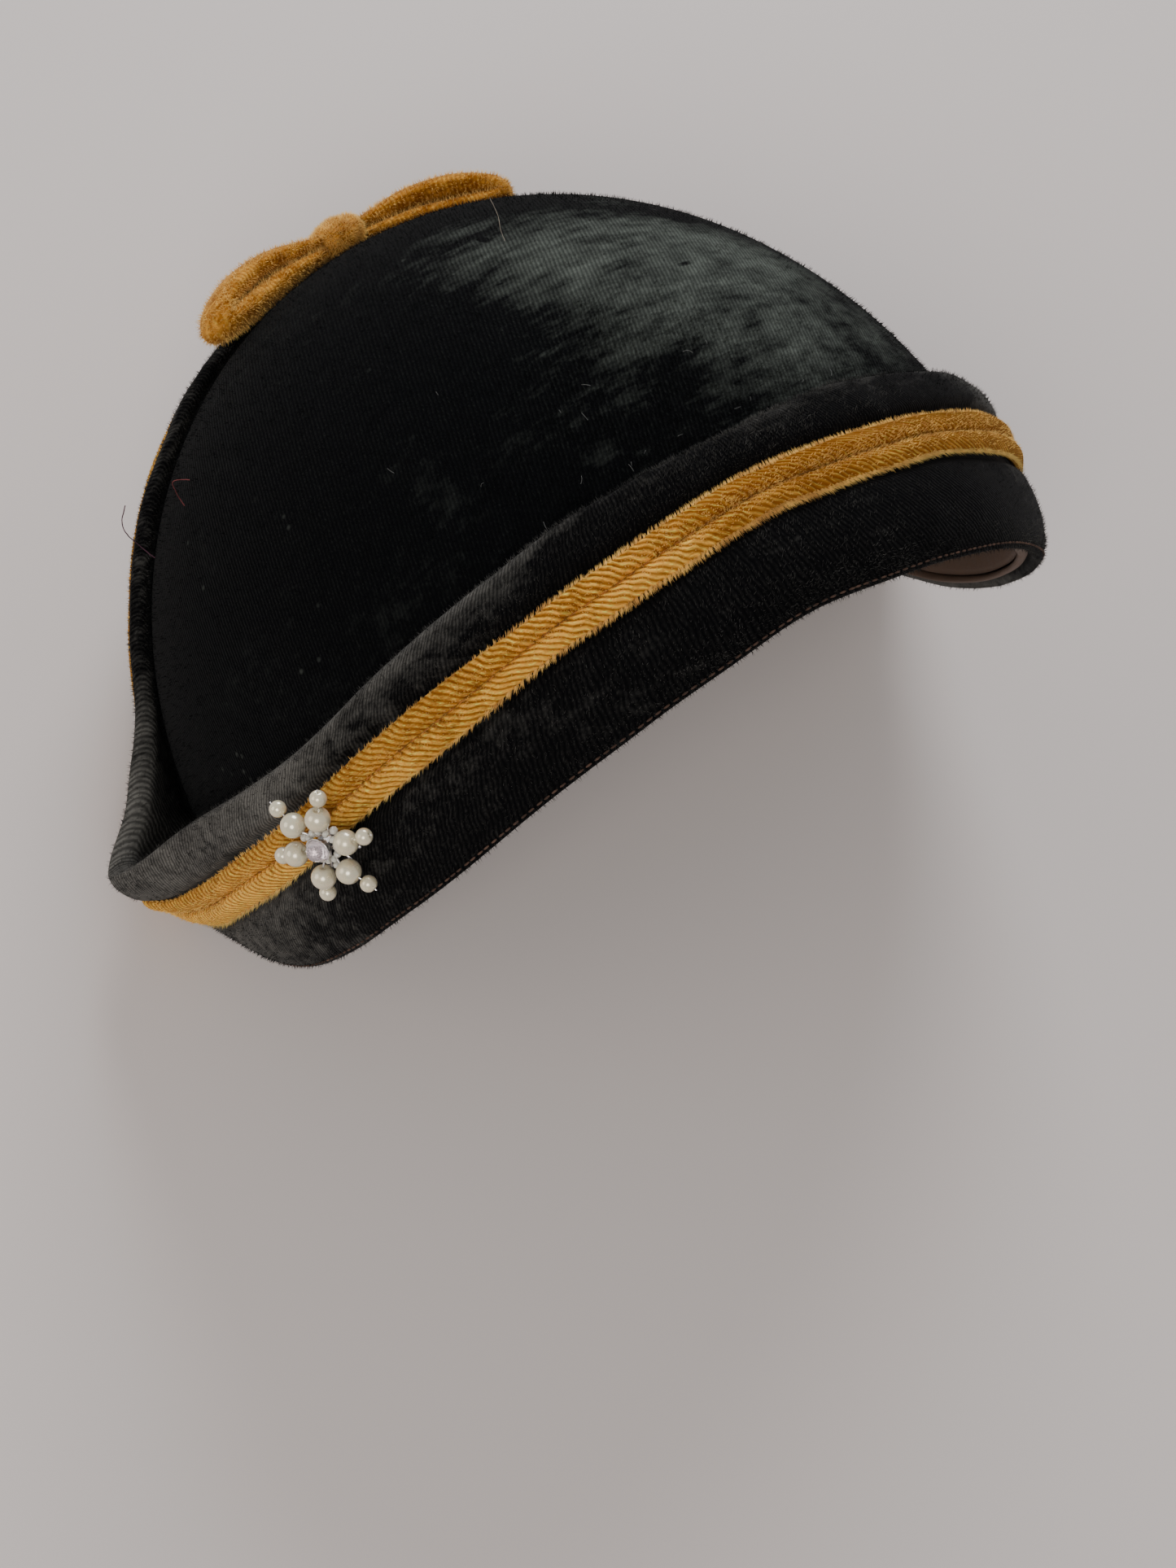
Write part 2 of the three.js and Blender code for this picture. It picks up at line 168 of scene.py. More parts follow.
# The stone's cup, as shares of the stone's radius and millimetres up from its foot
CUP_PROFILE = (
    (0.0, -0.1), (0.75, -0.1), (1.06, 0.9), (1.14, 1.15), (1.04, 1.2), (0.98, 0.95), (0.55, 0.3),
    (0.2, -0.02), (0.0, -0.02),
)

# Painted sheen: where the crown's pile is painted lighter, as if catching the light: the way from
# the middle of the hat, how wide, and how much
PAINTED_SHEEN = (
    ((0.1, 0.08, 0.99), 0.032, 0.58),
    ((0.3, 0.0, 0.954), 0.045, 0.5),
    ((0.36, -0.2, 0.91), 0.06, 0.36),
    ((0.0, 0.3, 0.954), 0.016, 0.5),
    ((0.5, -0.3, 0.81), 0.07, 0.36),
    ((0.45, 0.25, 0.86), 0.1, 0.24),
    ((-0.4, 0.15, 0.9), 0.05, 0.05),
    ((-0.1, -0.25, 0.963), 0.012, 0.2),
    ((0.1, 0.85, 0.5), 0.14, 0.2),
)

# Loose threads: name, colour, radius, and turn, angle down and height off the crown along them
LOOSE_THREADS = (
    ("stray_thread", (0.05, 0.02, 0.03), 0.11,
     ((-111, 61, 6.5), (-111.5, 60.5, 9.0), (-112.5, 60, 12.0), (-114, 59.5, 13.2),
      (-115, 58, 13.4))),
    ("red_thread", (0.12, 0.03, 0.03), 0.09,
     ((-112, 53.5, 5.5), (-112.5, 52.5, 8.0), (-112.5, 51.5, 9.8), (-112, 50.5, 9.4),
      (-111, 49.5, 8.4))),
    ("pale_hair", (0.42, 0.36, 0.28), 0.024,
     ((176, 14, 0.7), (174, 15.5, 1.4), (171, 17.5, 2.6), (169, 20, 3.6), (168, 22, 4.2))),
)

# Lamps: name, place and size in metres, power in watts, colour
LAMPS = (
    ("key_window", (-0.9, -0.75, 1.3), 0.9, 13.0, (1.0, 0.97, 0.93)),
    ("back_window", (0.75, 0.95, 0.9), 0.8, 17.0, (0.93, 0.96, 1.0)),
    ("side_fill", (-1.2, 0.5, 0.5), 0.9, 4.0, (1.0, 0.93, 0.86)),
)

AIR_COLOUR = (0.86, 0.85, 0.88, 1)
AIR_STRENGTH = 0.55
FLOOR_REACH = 3.0

# The camera, in the worn hat's own frame: millimetres and degrees
CAMERA_PLACE = (-217.4, -341.6, 411.9)
CAMERA_AZIMUTH = -32.0
CAMERA_ELEVATION = 48.0
CAMERA_ROLL = -4.0
FOCAL_PIXELS = 3420.0
PHOTO_HEIGHT = 1927
SENSOR = 36.0


def cuff_at(turn):
    """The table read smoothly at any turns, the same on both sides; returns a dict of arrays."""
    folded = np.abs(np.mod(np.asarray(turn, float) + 180, 360) - 180)
    at, values = CUFF_ROWS[:, 0], CUFF_ROWS[:, 1:]
    after = np.clip(np.searchsorted(at, folded, side="right"), 1, len(at) - 1)
    before = after - 1
    t0, t1 = at[before], at[after]
    first, last = before == 0, after == len(at) - 1
    prev = np.where(first, after, before - 1)
    t_prev = np.where(first, 2 * t0 - t1, at[np.maximum(before - 1, 0)])
    follow = np.where(last, after, after + 1)
    t_next = np.where(last, 2 * t1 - t0, at[np.minimum(after + 1, len(at) - 1)])
    follow = np.minimum(follow, len(at) - 1)
    wp, wn = (t1 - t0) / 2 / (t0 - t_prev), (t1 - t0) / 2 / (t_next - t1)
    p = (folded - t0) / (t1 - t0)
    p2, p3 = p * p, p * p * p
    shares = (
        -wp * p3 + 2 * wp * p2 - wp * p,
        (1 + wp) * p3 + (-1.5 - 2 * wp) * p2 + (-0.5 + wp) * p + 1,
        (-1 - wn) * p3 + (1.5 + wn) * p2 + 0.5 * p,
        wn * p3 - wn * p2,
    )
    found = sum(s[..., None] * values[i] for s, i in zip(shares, (prev, before, after, follow)))
    return {name: found[..., i] for i, name in enumerate(CUFF_COLUMNS[1:])}


def shell_point(turn, polar, out):
    """A point of the worn hat: turn from the front, polar from the top, out from the crown."""
    t, p = np.radians(turn), np.radians(polar)
    return np.stack([
        (HALF_BREADTH + out) * np.sin(p) * np.sin(t),
        -(HALF_LENGTH + out) * np.sin(p) * np.cos(t),
        (CROWN_HEIGHT + out) * np.cos(p),
    ], -1)


def cuff_polar(cuff, rise):
    return cuff["hem"] - np.degrees(rise * cuff["width"] * CUFF_WIDTH / MEAN_RADIUS)


def inner_face(cuff, rise):
    return SEAM_GAP + cuff["flare"] * CORNER_FLARE * (1 - (1 - rise) ** 2)


def padding_at(cuff):
    return cuff["padding"] * CUFF_PADDING


def rim_share(cuff):
    return RIM_RISE / (cuff["width"] * CUFF_WIDTH)


def cuff_section(cuff):
    """The cuff's section as [rise, depth] pairs, each an array over the turns."""
    low, high = cuff["low"], cuff["high"]
    one = np.ones_like(low)
    lobe = low - 2 * SEAT_MARGIN
    rim = rim_share(cuff)

    def sewn(rise):
        return rise, (SEAM_GAP - inner_face(cuff, rise)) / padding_at(cuff)

    pairs = [
        sewn(0.4 * rim), sewn(rim), (0.42, 0), (0.62, 0), (0.84, 0), (0.94, 0.05),
        (0.985, 0.25), (1, 0.52), (0.985, 0.8), (0.95, 0.98),
        (high + 0.55 * (0.95 - high), 1.02), (high + 2 * SEAT_MARGIN, 0.9),
        (high + SEAT_MARGIN, SEAT_DEPTH), (high, SEAT_DEPTH), ((low + high) / 2, SEAT_DEPTH),
        (low, SEAT_DEPTH), (low - SEAT_MARGIN, SEAT_DEPTH),
        (lobe, 0.8), (lobe * 0.78, 0.88), (lobe * 0.52, 0.86), (lobe * 0.3, 0.73),
        (lobe * 0.12, 0.55), (0, 0.3), (0.012, 0.14),
    ]
    return [(rise * one, depth * one) for rise, depth in pairs]


def leaned(points):
    a = math.radians(LEAN)
    x, y, z = np.moveaxis(np.asarray(points, float), -1, 0)
    return np.stack([x, y * math.cos(a) + z * math.sin(a), z * math.cos(a) - y * math.sin(a)], -1)


def standing():
    """How far the leaned hat is raised, and where its middle lies, as the solid model has them."""
    turns = np.arange(CAD_TURNS) * 360 / CAD_TURNS - 180
    cuff = cuff_at(turns)
    rings = []
    for rise, depth in cuff_section(cuff):
        out = inner_face(cuff, rise) + depth * padding_at(cuff)
        rings.append(shell_point(turns, cuff_polar(cuff, rise), out))
    placed = leaned(np.concatenate(rings))
    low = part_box("cuff")[0]
    return -placed[:, 2].min() - PRESSED, low.y / MM - placed[:, 1].min()


RAISED, MIDDLE = standing()


def settle(points):
    """From the worn frame to the standing hat: leaned, raised, and pressed to the ground."""
    placed = leaned(points) + np.array((0, MIDDLE, RAISED))
    placed[..., 2] = np.maximum(placed[..., 2], 0)
    return placed


# How pieces are made

def unit(ways):
    return ways / np.linalg.norm(ways, axis=-1, keepdims=True)


def circle(count, start=0.0):
    """Angles evenly round a circle, in radians."""
    return 2 * math.pi * (np.arange(count) + start) / count


def lengths_along(line):
    """How far along a line of points each of them is."""
    return np.concatenate([[0], np.cumsum(np.linalg.norm(np.diff(line, axis=0), axis=1))])


def ring_faces(rings, around, closed=False):
    """Four-sided faces between neighbouring rings; closed joins the last ring to the first."""
    i, j = np.meshgrid(np.arange(rings if closed else rings - 1), np.arange(around), indexing="ij")
    n, k = (i + 1) % rings, (j + 1) % around
    corners = [i * around + j, n * around + j, n * around + k, i * around + k]
    return np.stack(corners, -1).reshape(-1, 4)


def cap_faces(rings, around, first, last):
    """Fans that close the first and the last ring at two further points."""
    j = np.arange(around)
    k = (j + 1) % around
    end = (rings - 1) * around
    opening = np.stack([np.full(around, first), j, k], -1)
    return np.concatenate([opening, np.stack([np.full(around, last), end + k, end + j], -1)])


def to_mesh(name, points, quads, triangles=(), lay=None):
    """A mesh object from points in millimetres; the materials read lay, a value a point."""
    mesh = bpy.data.meshes.new(name)
    corners = [np.asarray(f, np.int64) for f in (quads, triangles) if len(f)]
    mesh.vertices.add(len(points))
    mesh.vertices.foreach_set("co", (np.asarray(points, float) * MM).ravel())
    loops = np.concatenate([c.ravel() for c in corners])
    sizes = np.concatenate([np.full(len(c), c.shape[1]) for c in corners])
    mesh.loops.add(len(loops))
    mesh.loops.foreach_set("vertex_index", loops)
    mesh.polygons.add(len(sizes))
    mesh.polygons.foreach_set("loop_start", np.concatenate([[0], np.cumsum(sizes)[:-1]]))
    mesh.polygons.foreach_set("use_smooth", np.full(len(sizes), True))
    if lay is not None:
        layer = mesh.attributes.new("lay", "FLOAT_VECTOR", "POINT")
        layer.data.foreach_set("vector", np.asarray(lay, float).ravel())
    mesh.update(calc_edges=True)
    if mesh.validate():
        raise RuntimeError(f"{name} has faulty faces")
    piece = bpy.data.objects.new(name, mesh)
    bpy.context.scene.collection.objects.link(piece)
    return piece


def inside_out(quads, points):
    a, b, c, d = (points[quads[:, i]] for i in range(4))
    return np.einsum("ij,ij->", a, np.cross(b, c)) + np.einsum("ij,ij->", a, np.cross(c, d)) < 0


def loft(name, grid, caps=False, lay=None):
    """A closed form from rings of points, (rings, points, 3); without caps the rings close."""
    rings, around = grid.shape[:2]
    quads = ring_faces(rings, around, closed=not caps)
    points = grid.reshape(-1, 3)
    lay = None if lay is None else lay.reshape(-1, 3)
    triangles = np.zeros((0, 3), np.int64)
    if caps:
        points = np.concatenate([points, grid[0].mean(0)[None], grid[-1].mean(0)[None]])
        if lay is not None:
            lay = np.concatenate([lay, lay[:1], lay[-1:]])
        triangles = cap_faces(rings, around, len(points) - 2, len(points) - 1)
    if inside_out(quads, points):
        quads, triangles = quads[:, ::-1], triangles[:, ::-1]
    return to_mesh(name, points, quads, triangles, lay)


def round_about(count):
    return np.arange(count) * 360 / count - 180


def smoothed(controls, steps, closed=True):
    """A rounded line through control points on the second last axis, in steps from each."""
    count = controls.shape[-2]
    at = np.arange(count if closed else count - 1) + np.arange(-1, 3)[:, None]
    at = at % count if closed else np.clip(at, 0, count - 1)
    a, b, c, d = (np.take(controls, pick, axis=-2)[..., None, :] for pick in at)
    t = (np.arange(steps) / steps)[:, None]
    found = 0.5 * (2 * b + (c - a) * t + (2 * a - 5 * b + 4 * c - d) * t**2 +
                   (3 * b - a - 3 * c + d) * t**3)
    found = found.reshape(*controls.shape[:-2], -1, controls.shape[-1])
    return found if closed else np.concatenate([found, controls[..., -1:, :]], -2)


def wander(turn, seed, counts):
    """A soft uneven line round the hat, between about -1 and 1, which meets itself."""
    draws = np.random.default_rng(seed)
    total = sum(
        draws.uniform(0.5, 1) * np.cos(np.radians(n * turn) + draws.uniform(0, 2 * math.pi))
        for n in counts
    )
    return total / (0.5 * len(counts)) ** 0.5 / 1.5


def tufts(name, roots, ways, length, width, seed, lay=None):
    """Tapering fibres in millimetres, each a closed spike of three sides from a root."""
    draws = np.random.default_rng(seed)
    count = len(roots)
    ways = unit(ways)
    side = unit(np.cross(ways, draws.normal(size=(count, 3))))
    other = np.cross(ways, side)
    reach = np.broadcast_to(length, count)[:, None] * draws.uniform(0.55, 1.15, (count, 1))
    thick = width * draws.uniform(0.7, 1.2, (count, 1)) / 2
    feet = [roots + thick * (math.cos(a) * side + math.sin(a) * other) for a in circle(3)]
    points = np.stack([*feet, roots + ways * reach], 1)
    points[..., 2] = np.maximum(points[..., 2], 0.02)
    start = 4 * np.arange(count)[:, None]
    faces = np.concatenate([start + f for f in ((0, 2, 1), (0, 1, 3), (1, 2, 3), (2, 0, 3))])
    lay = None if lay is None else np.repeat(lay, 4, axis=0)
    return to_mesh(name, points.reshape(-1, 3), [], faces, lay)


def finished(piece, material, replaced=()):
    """A piece gets its finish, its place on the hat, and the solids it stands for."""
    piece.data.materials.append(material)
    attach(piece, "root")
    if replaced:
        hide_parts(*replaced)
    return piece


# Materials

def feed(tree, socket, value):
    """A socket gets either a link or a plain value."""
    if isinstance(value, bpy.types.NodeSocket):
        tree.links.new(value, socket)
    else:
        socket.default_value = value


def add_node(tree, kind, links=None, **values):
    node = tree.nodes.new(kind)
    for key, value in values.items():
        setattr(node, key, value)
    for key, value in (links or {}).items():
        feed(tree, node.inputs[key], value)
    return node


def math_node(tree, operation, *values):
    return add_node(tree, "ShaderNodeMath", dict(enumerate(values)),
                    operation=operation).outputs[0]


def fitted(tree, value, low, high, new_low=0.0, new_high=1.0):
    names = ("Value", "From Min", "From Max", "To Min", "To Max")
    links = dict(zip(names, (value, low, high, new_low, new_high)))
    return add_node(tree, "ShaderNodeMapRange", links).outputs["Result"]


def product(tree, first, second):
    return math_node(tree, "MULTIPLY", first, second)


def added(tree, first, second):
    return math_node(tree, "ADD", first, second)


def mixed(tree, share, first, second):
    node = add_node(tree, "ShaderNodeMix", data_type="RGBA")
    for key, value in ((0, share), (6, first), (7, second)):
        feed(tree, node.inputs[key], value)
    return node.outputs[2]


def new_group(name, inputs, outputs):
    """A shader node group with named inputs and outputs; returns it and its two end nodes."""
    group = bpy.data.node_groups.new(name, "ShaderNodeTree")
    for title, kind, value in inputs:
        socket = group.interface.new_socket(title, in_out="INPUT", socket_type=f"NodeSocket{kind}")
        if value is not None:
            socket.default_value = value
    for title, kind in outputs:
        group.interface.new_socket(title, in_out="OUTPUT", socket_type=f"NodeSocket{kind}")
    return group, group.nodes.new("NodeGroupInput"), group.nodes.new("NodeGroupOutput")


def pile_rows():
    """Rows of woven pile: a height for bumps and a tone for the colour, both from 0 to 1."""
    if "pile_rows" in bpy.data.node_groups:
        return bpy.data.node_groups["pile_rows"]
    group, start, end = new_group(
        "pile_rows",
        [("Lay", "Vector", None), ("Pitch", "Float", 0.9), ("Slant", "Float", 0.0),
         ("Straying", "Float", 0.5)],
        [("Height", "Float"), ("Tone", "Float")],
    )
    parts = add_node(group, "ShaderNodeSeparateXYZ", {0: start.outputs["Lay"]})
    drift = noise(group, start.outputs["Lay"], 0.28, 2.0)
    strand = noise(group, start.outputs["Lay"], 2.4, 3.0)
    slanted = product(group, parts.outputs["Y"], start.outputs["Slant"])
    shift = product(group, drift, start.outputs["Straying"])
    place = added(group, added(group, parts.outputs["X"], slanted), shift)
    row = math_node(group, "DIVIDE", place, start.outputs["Pitch"])
    phase = product(group, row, 2 * math.pi)
    row = fitted(group, math_node(group, "SINE", phase), -1.0, 1.0)
    broken = product(group, row, fitted(group, strand, 0.3, 0.65, 0.35, 1.0))
    group.links.new(broken, end.inputs["Height"])
    tone = product(group, broken, fitted(group, drift, 0.35, 0.65, 0.4, 1.0))
    group.links.new(tone, end.inputs["Tone"])
    return group


def sheen_and_wear_patches():
    """Broad soft patches with streaky, broken edges, as a mask: painted sheen on the velvets,
    where their pile lies the other way and catches the light, paler worn patches on the lining and
    dull patches on the silver.
    """
    if "sheen_and_wear_patches" in bpy.data.node_groups:
        return bpy.data.node_groups["sheen_and_wear_patches"]
    group, start, end = new_group(
        "sheen_and_wear_patches",
        [("Place", "Vector", None), ("Size", "Float", 30.0), ("Low", "Float", 0.45),
         ("High", "Float", 0.65)],
        [("Mask", "Float")],
    )
    broad = add_node(
        group, "ShaderNodeTexNoise",
        {"Vector": start.outputs["Place"], "Scale": start.outputs["Size"], "Detail": 9.0,
         "Roughness": 0.72, "Distortion": 0.6},
    )
    stretched = add_node(
        group, "ShaderNodeMapping",
        {"Vector": start.outputs["Place"], "Rotation": (0.0, 0.3, 0.5), "Scale": (0.25, 1.0, 0.8)},
    )
    streak = add_node(
        group, "ShaderNodeTexNoise",
        {"Vector": stretched.outputs[0],
         "Scale": product(group, start.outputs["Size"], 16.0),
         "Detail": 4.0, "Roughness": 0.7},
    )
    both = added(group, broad.outputs["Fac"],
                     fitted(group, streak.outputs["Fac"], 0.25, 0.75, -0.16, 0.16))
    mask = fitted(group, both, start.outputs["Low"], start.outputs["High"])
    group.links.new(mask, end.inputs["Mask"])
    return group


def lint_specks():
    """A few pale specks of lint and dust, as a mask."""
    if "lint_specks" in bpy.data.node_groups:
        return bpy.data.node_groups["lint_specks"]
    group, start, end = new_group(
        "lint_specks", [("Place", "Vector", None), ("Amount", "Float", 0.1)], [("Mask", "Float")]
    )
    cells = add_node(group, "ShaderNodeTexVoronoi",
                     {"Vector": start.outputs["Place"], "Scale": 240.0})
    chosen = noise(group, start.outputs["Place"], 60.0, 1.0)
    speck = fitted(group, cells.outputs["Distance"], 0.16, 0.06)
    some = fitted(group, chosen, 0.62, 0.68)
    mask = product(group, product(group, speck, some), start.outputs["Amount"])
    group.links.new(mask, end.inputs["Mask"])
    return group


def use_group(tree, group, links):
    return add_node(tree, "ShaderNodeGroup", links, node_tree=group)


def object_place(tree):
    return add_node(tree, "ShaderNodeTexCoord").outputs["Object"]


def lay_of(tree):
    return add_node(tree, "ShaderNodeAttribute", attribute_name="lay").outputs["Vector"]


def noise(tree, place, scale, detail):
    links = {"Vector": place, "Scale": scale, "Detail": detail}
    return add_node(tree, "ShaderNodeTexNoise", links).outputs["Fac"]


def bump(tree, shader, height, distance, strength):
    links = {"Height": height, "Distance": distance, "Strength": strength}
    tree.links.new(add_node(tree, "ShaderNodeBump", links).outputs[0], shader.inputs["Normal"])


def new_material(name, **shader_values):
    """An empty material: its tree and its shader with plain values on the shader's own sockets."""
    material = bpy.data.materials.new(name)
    material.use_nodes = True
    tree = material.node_tree
    shader = tree.nodes["Principled BSDF"]
    for key, value in shader_values.items():
        shader.inputs[key.replace("_", " ")].default_value = value
    return material, tree, shader


def rgb(colour):
    return (*colour[:3], 1.0)


def shade(colour, factor):
    return (*(min(c * factor, 1.0) for c in colour[:3]), 1.0)


def velvet(name, deep, lit, sheen, sheen_weight, pitch, slant, row_tone, low, high, spread,
           size=28.0, relief=0.4, roughness=0.85, stray=0.5, hatch=0.5, painted_glint=0.0):
    """Pile velvet: a deep colour, lighter patches of painted sheen, woven rows, sheen, painted
    glints and a little lint.

    low and high are where the patches begin on cloth with the most and the least painted sheen,
    and spread how soft their edges are. hatch is how much of a patch is left between two rows, and
    the last argument how bright its painted glints are. The second colour is the painted sheen's.
    The rows' tone is the weave's own, painted stronger where the painted sheen is.
    """
    if name in bpy.data.materials:
        return bpy.data.materials[name]
    material, tree, shader = new_material(
        name, Sheen_Weight=sheen_weight, Sheen_Roughness=0.38, Sheen_Tint=rgb(sheen),
        Specular_IOR_Level=0.03, Roughness=roughness,
    )
    lay, place = lay_of(tree), object_place(tree)
    rows = use_group(tree, pile_rows(),
                     {"Lay": lay, "Pitch": pitch, "Slant": slant, "Straying": stray})
    # The third value of lay is the share of painted sheen: how much of the lighter colour stands
    # in for light caught by the pile.
    reach = add_node(tree, "ShaderNodeSeparateXYZ", {0: lay}).outputs["Z"]
    edge = fitted(tree, reach, 0.0, 1.0, high, low)
    far_edge = added(tree, edge, spread)
    patches = use_group(tree, sheen_and_wear_patches(),
                        {"Place": place, "Size": size, "Low": edge, "High": far_edge})
    hatched = product(tree, patches.outputs["Mask"],
                      fitted(tree, rows.outputs["Height"], 0, 0.7, hatch))
    reached = product(tree, hatched, math_node(tree, "POWER", reach, 0.5))
    toned = product(tree, rows.outputs["Tone"],
                    fitted(tree, reach, 0.0, 1.0, 0.3 * row_tone, row_tone))
    share = added(tree, reached, toned)
    colour = mixed(tree, share, rgb(deep), rgb(lit))
    # Painted glints: small bright flecks on the rows, stronger where the painted sheen share is
    # higher.
    strands = add_node(tree, "ShaderNodeMapping",
                       {"Vector": lay, "Rotation": (0.0, 0.0, 0.9), "Scale": (3.4, 1.1, 1.0)})
    glint = fitted(tree, noise(tree, strands.outputs[0], 1.0, 3.0), 0.52, 0.68)
    bright = product(tree, glint, rows.outputs["Height"])
    bright = product(tree, bright, fitted(tree, reach, 0.0, 1.0, 0.3 * painted_glint, painted_glint))
    colour = mixed(tree, bright, colour, shade(lit, 2.2))
    lint = use_group(tree, lint_specks(), {"Place": place, "Amount": 0.08})
    colour = mixed(tree, lint.outputs["Mask"], colour, shade(lit, 2.6))
    tree.links.new(colour, shader.inputs["Base Color"])
    grain = product(tree, noise(tree, place, 900.0, 2.0), 0.8)
    bump(tree, shader, added(tree, rows.outputs["Height"], grain), 0.00028, relief)
    return material


def plain_velvets(sizes):
    """The four velvets of the hat, made from the colours in the panel."""
    crown = velvet("black_crown_pile", sizes.crown_colour, sizes.crown_sheen, (0.55, 0.58, 0.56),
                   0.02, 0.95, 0.45, 0.07, 0.32, 0.6, 0.42, size=23.0, relief=0.9, painted_glint=0.08)
    cuff = velvet("black_cuff_pile", sizes.cuff_colour, sizes.cuff_sheen, (0.6, 0.6, 0.6), 0.05,
                  0.9, 0.25, 0.16, 0.26, 0.62, 0.36, size=30.0, relief=0.45, stray=1.6,
                  hatch=0.42, painted_glint=0.12)
    gold = velvet("gold_pile", sizes.gold_deep, sizes.gold_light, (1.0, 0.6, 0.2), 0.22,
                  RIB_PITCH, 0.0, 0.95, 0.3, 0.45, 0.24, size=60.0, relief=1.0, roughness=0.75,
                  hatch=0.2, painted_glint=1.3)
    soft_gold = velvet("gold_bow_pile", sizes.gold_deep, sizes.gold_light, (1.0, 0.62, 0.24),
                       0.34, 0.95, 0.3, 0.06, 0.34, 0.44, 0.3, size=75.0, relief=0.14,
                       roughness=0.75, painted_glint=0.2)
    return crown, cuff, gold, soft_gold


def lining_cloth(colour):
    """Thin woven lining: crossed threads, a soft shine and paler, rougher worn patches."""
    if "lining_cloth" in bpy.data.materials:
        return bpy.data.materials["lining_cloth"]
    material, tree, shader = new_material(
        "lining_cloth", Sheen_Weight=0.25, Sheen_Roughness=0.4, Sheen_Tint=shade(colour, 3.0),
        Specular_IOR_Level=0.3,
    )
    lay, place = lay_of(tree), object_place(tree)
    along = use_group(tree, pile_rows(),
                      {"Lay": lay, "Pitch": 0.55, "Slant": 0.0, "Straying": 0.2})
    across = use_group(tree, pile_rows(),
                       {"Lay": lay, "Pitch": 0.55, "Slant": 40.0, "Straying": 0.2})
    crossed = math_node(tree, "MAXIMUM", along.outputs["Height"], across.outputs["Height"])
    worn = use_group(tree, sheen_and_wear_patches(), {"Place": place, "Size": 20.0, "Low": 0.4, "High": 0.7})
    colour_out = mixed(tree, worn.outputs["Mask"], rgb(colour), shade(colour, 1.6))
    colour_out = mixed(tree, product(tree, crossed, 0.25), colour_out,
                       shade(colour, 2.2))
    tree.links.new(colour_out, shader.inputs["Base Color"])
    tree.links.new(fitted(tree, worn.outputs["Mask"], 0.0, 1.0, 0.55, 0.75),
                   shader.inputs["Roughness"])
    bump(tree, shader, crossed, 0.00012, 0.5)
    return material


def fibre(name, colour, spread=0.35):
    """Loose fibres and threads: the colour varies from one to the next."""
    if name in bpy.data.materials:
        return bpy.data.materials[name]
    material, tree, shader = new_material(
        name, Roughness=0.8, Sheen_Weight=0.3, Sheen_Roughness=0.4, Sheen_Tint=shade(colour, 2.5),
        Specular_IOR_Level=0.15,
    )
    share = fitted(tree, noise(tree, object_place(tree), 320.0, 2.0), 0.35, 0.65)
    tone = mixed(tree, share, shade(colour, 1 - spread), shade(colour, 1 + 1.6 * spread))
    tree.links.new(tone, shader.inputs["Base Color"])
    return material


def silver_metal():
    """Bright wire and plate, slightly dulled in places."""
    if "brooch_silver" in bpy.data.materials:
        return bpy.data.materials["brooch_silver"]
    material, tree, shader = new_material("brooch_silver", Metallic=1.0)
    place = object_place(tree)
    dulled = use_group(tree, sheen_and_wear_patches(),
                       {"Place": place, "Size": 260.0, "Low": 0.4, "High": 0.7})
    colour = mixed(tree, dulled.outputs["Mask"], (0.86, 0.85, 0.84, 1), (0.62, 0.6, 0.58, 1))
    tree.links.new(colour, shader.inputs["Base Color"])
    tree.links.new(fitted(tree, dulled.outputs["Mask"], 0.0, 1.0, 0.14, 0.38),
                   shader.inputs["Roughness"])
    return material


def pearl_lustre(name, colour):
    """Cream pearl: a soft glow under a thin gloss, with faint clouds and fine unevenness."""
    if name in bpy.data.materials:
        return bpy.data.materials[name]
    material, tree, shader = new_material(
        name, Metallic=0.3, Coat_Weight=0.8, Coat_Roughness=0.08, Specular_IOR_Level=0.7,
        Sheen_Weight=0.08, Sheen_Roughness=0.3, Sheen_Tint=(1.0, 0.92, 0.9, 1),
        Subsurface_Weight=0.05, Subsurface_Scale=0.001,
    )
    place = object_place(tree)
    clouds = noise(tree, place, 420.0, 3.0)
    colour_out = mixed(tree, fitted(tree, clouds, 0.35, 0.65), rgb(colour),
                       (colour[0], colour[1] * 0.955, colour[2] * 0.9, 1))
    tree.links.new(colour_out, shader.inputs["Base Color"])
    tree.links.new(fitted(tree, clouds, 0.3, 0.7, 0.2, 0.32), shader.inputs["Roughness"])
    bump(tree, shader, noise(tree, place, 1500.0, 2.0), 0.00004, 0.35)
    return material


def cut_glass(name, colour, clear=0.85):
    """Clear cut glass with a faint tint and light scuffs on its edges."""
    if name in bpy.data.materials:
        return bpy.data.materials[name]
    material, tree, shader = new_material(name, Transmission_Weight=clear, IOR=1.62,
                                          Specular_IOR_Level=0.7)
    place = object_place(tree)
    scuffs = use_group(tree, lint_specks(), {"Place": place, "Amount": 0.5})
    tree.links.new(mixed(tree, scuffs.outputs["Mask"], rgb(colour), (1, 1, 1, 1)),
                   shader.inputs["Base Color"])
    tree.links.new(fitted(tree, scuffs.outputs["Mask"], 0.0, 1.0, 0.03, 0.25),
                   shader.inputs["Roughness"])
    return material


# The hat's own shapes

def crown_lay(turn, polar, lit):
    """Where the crown's cloth lies flat, in millimetres, and how much painted sheen it has."""
    reach, turn = np.radians(polar) * MEAN_RADIUS, np.radians(turn)
    return np.stack([reach * np.sin(turn), reach * np.cos(turn), lit], -1)


def painted_sheen_share(turn, polar):
    """Painted sheen: the crown's pile is painted lighter most over the top and the front left, and
    little at right.
    """
    t, p = np.radians(turn), np.radians(polar)
    at = np.stack([np.sin(p) * np.sin(t), -np.sin(p) * np.cos(t), np.cos(p)], -1)
    found = sum(
        size * np.exp(-((1 - at @ np.array(way)) / reach) ** 1.3) for way, reach, size in PAINTED_SHEEN
    )
    return np.clip(0.03 + found, 0, 1)


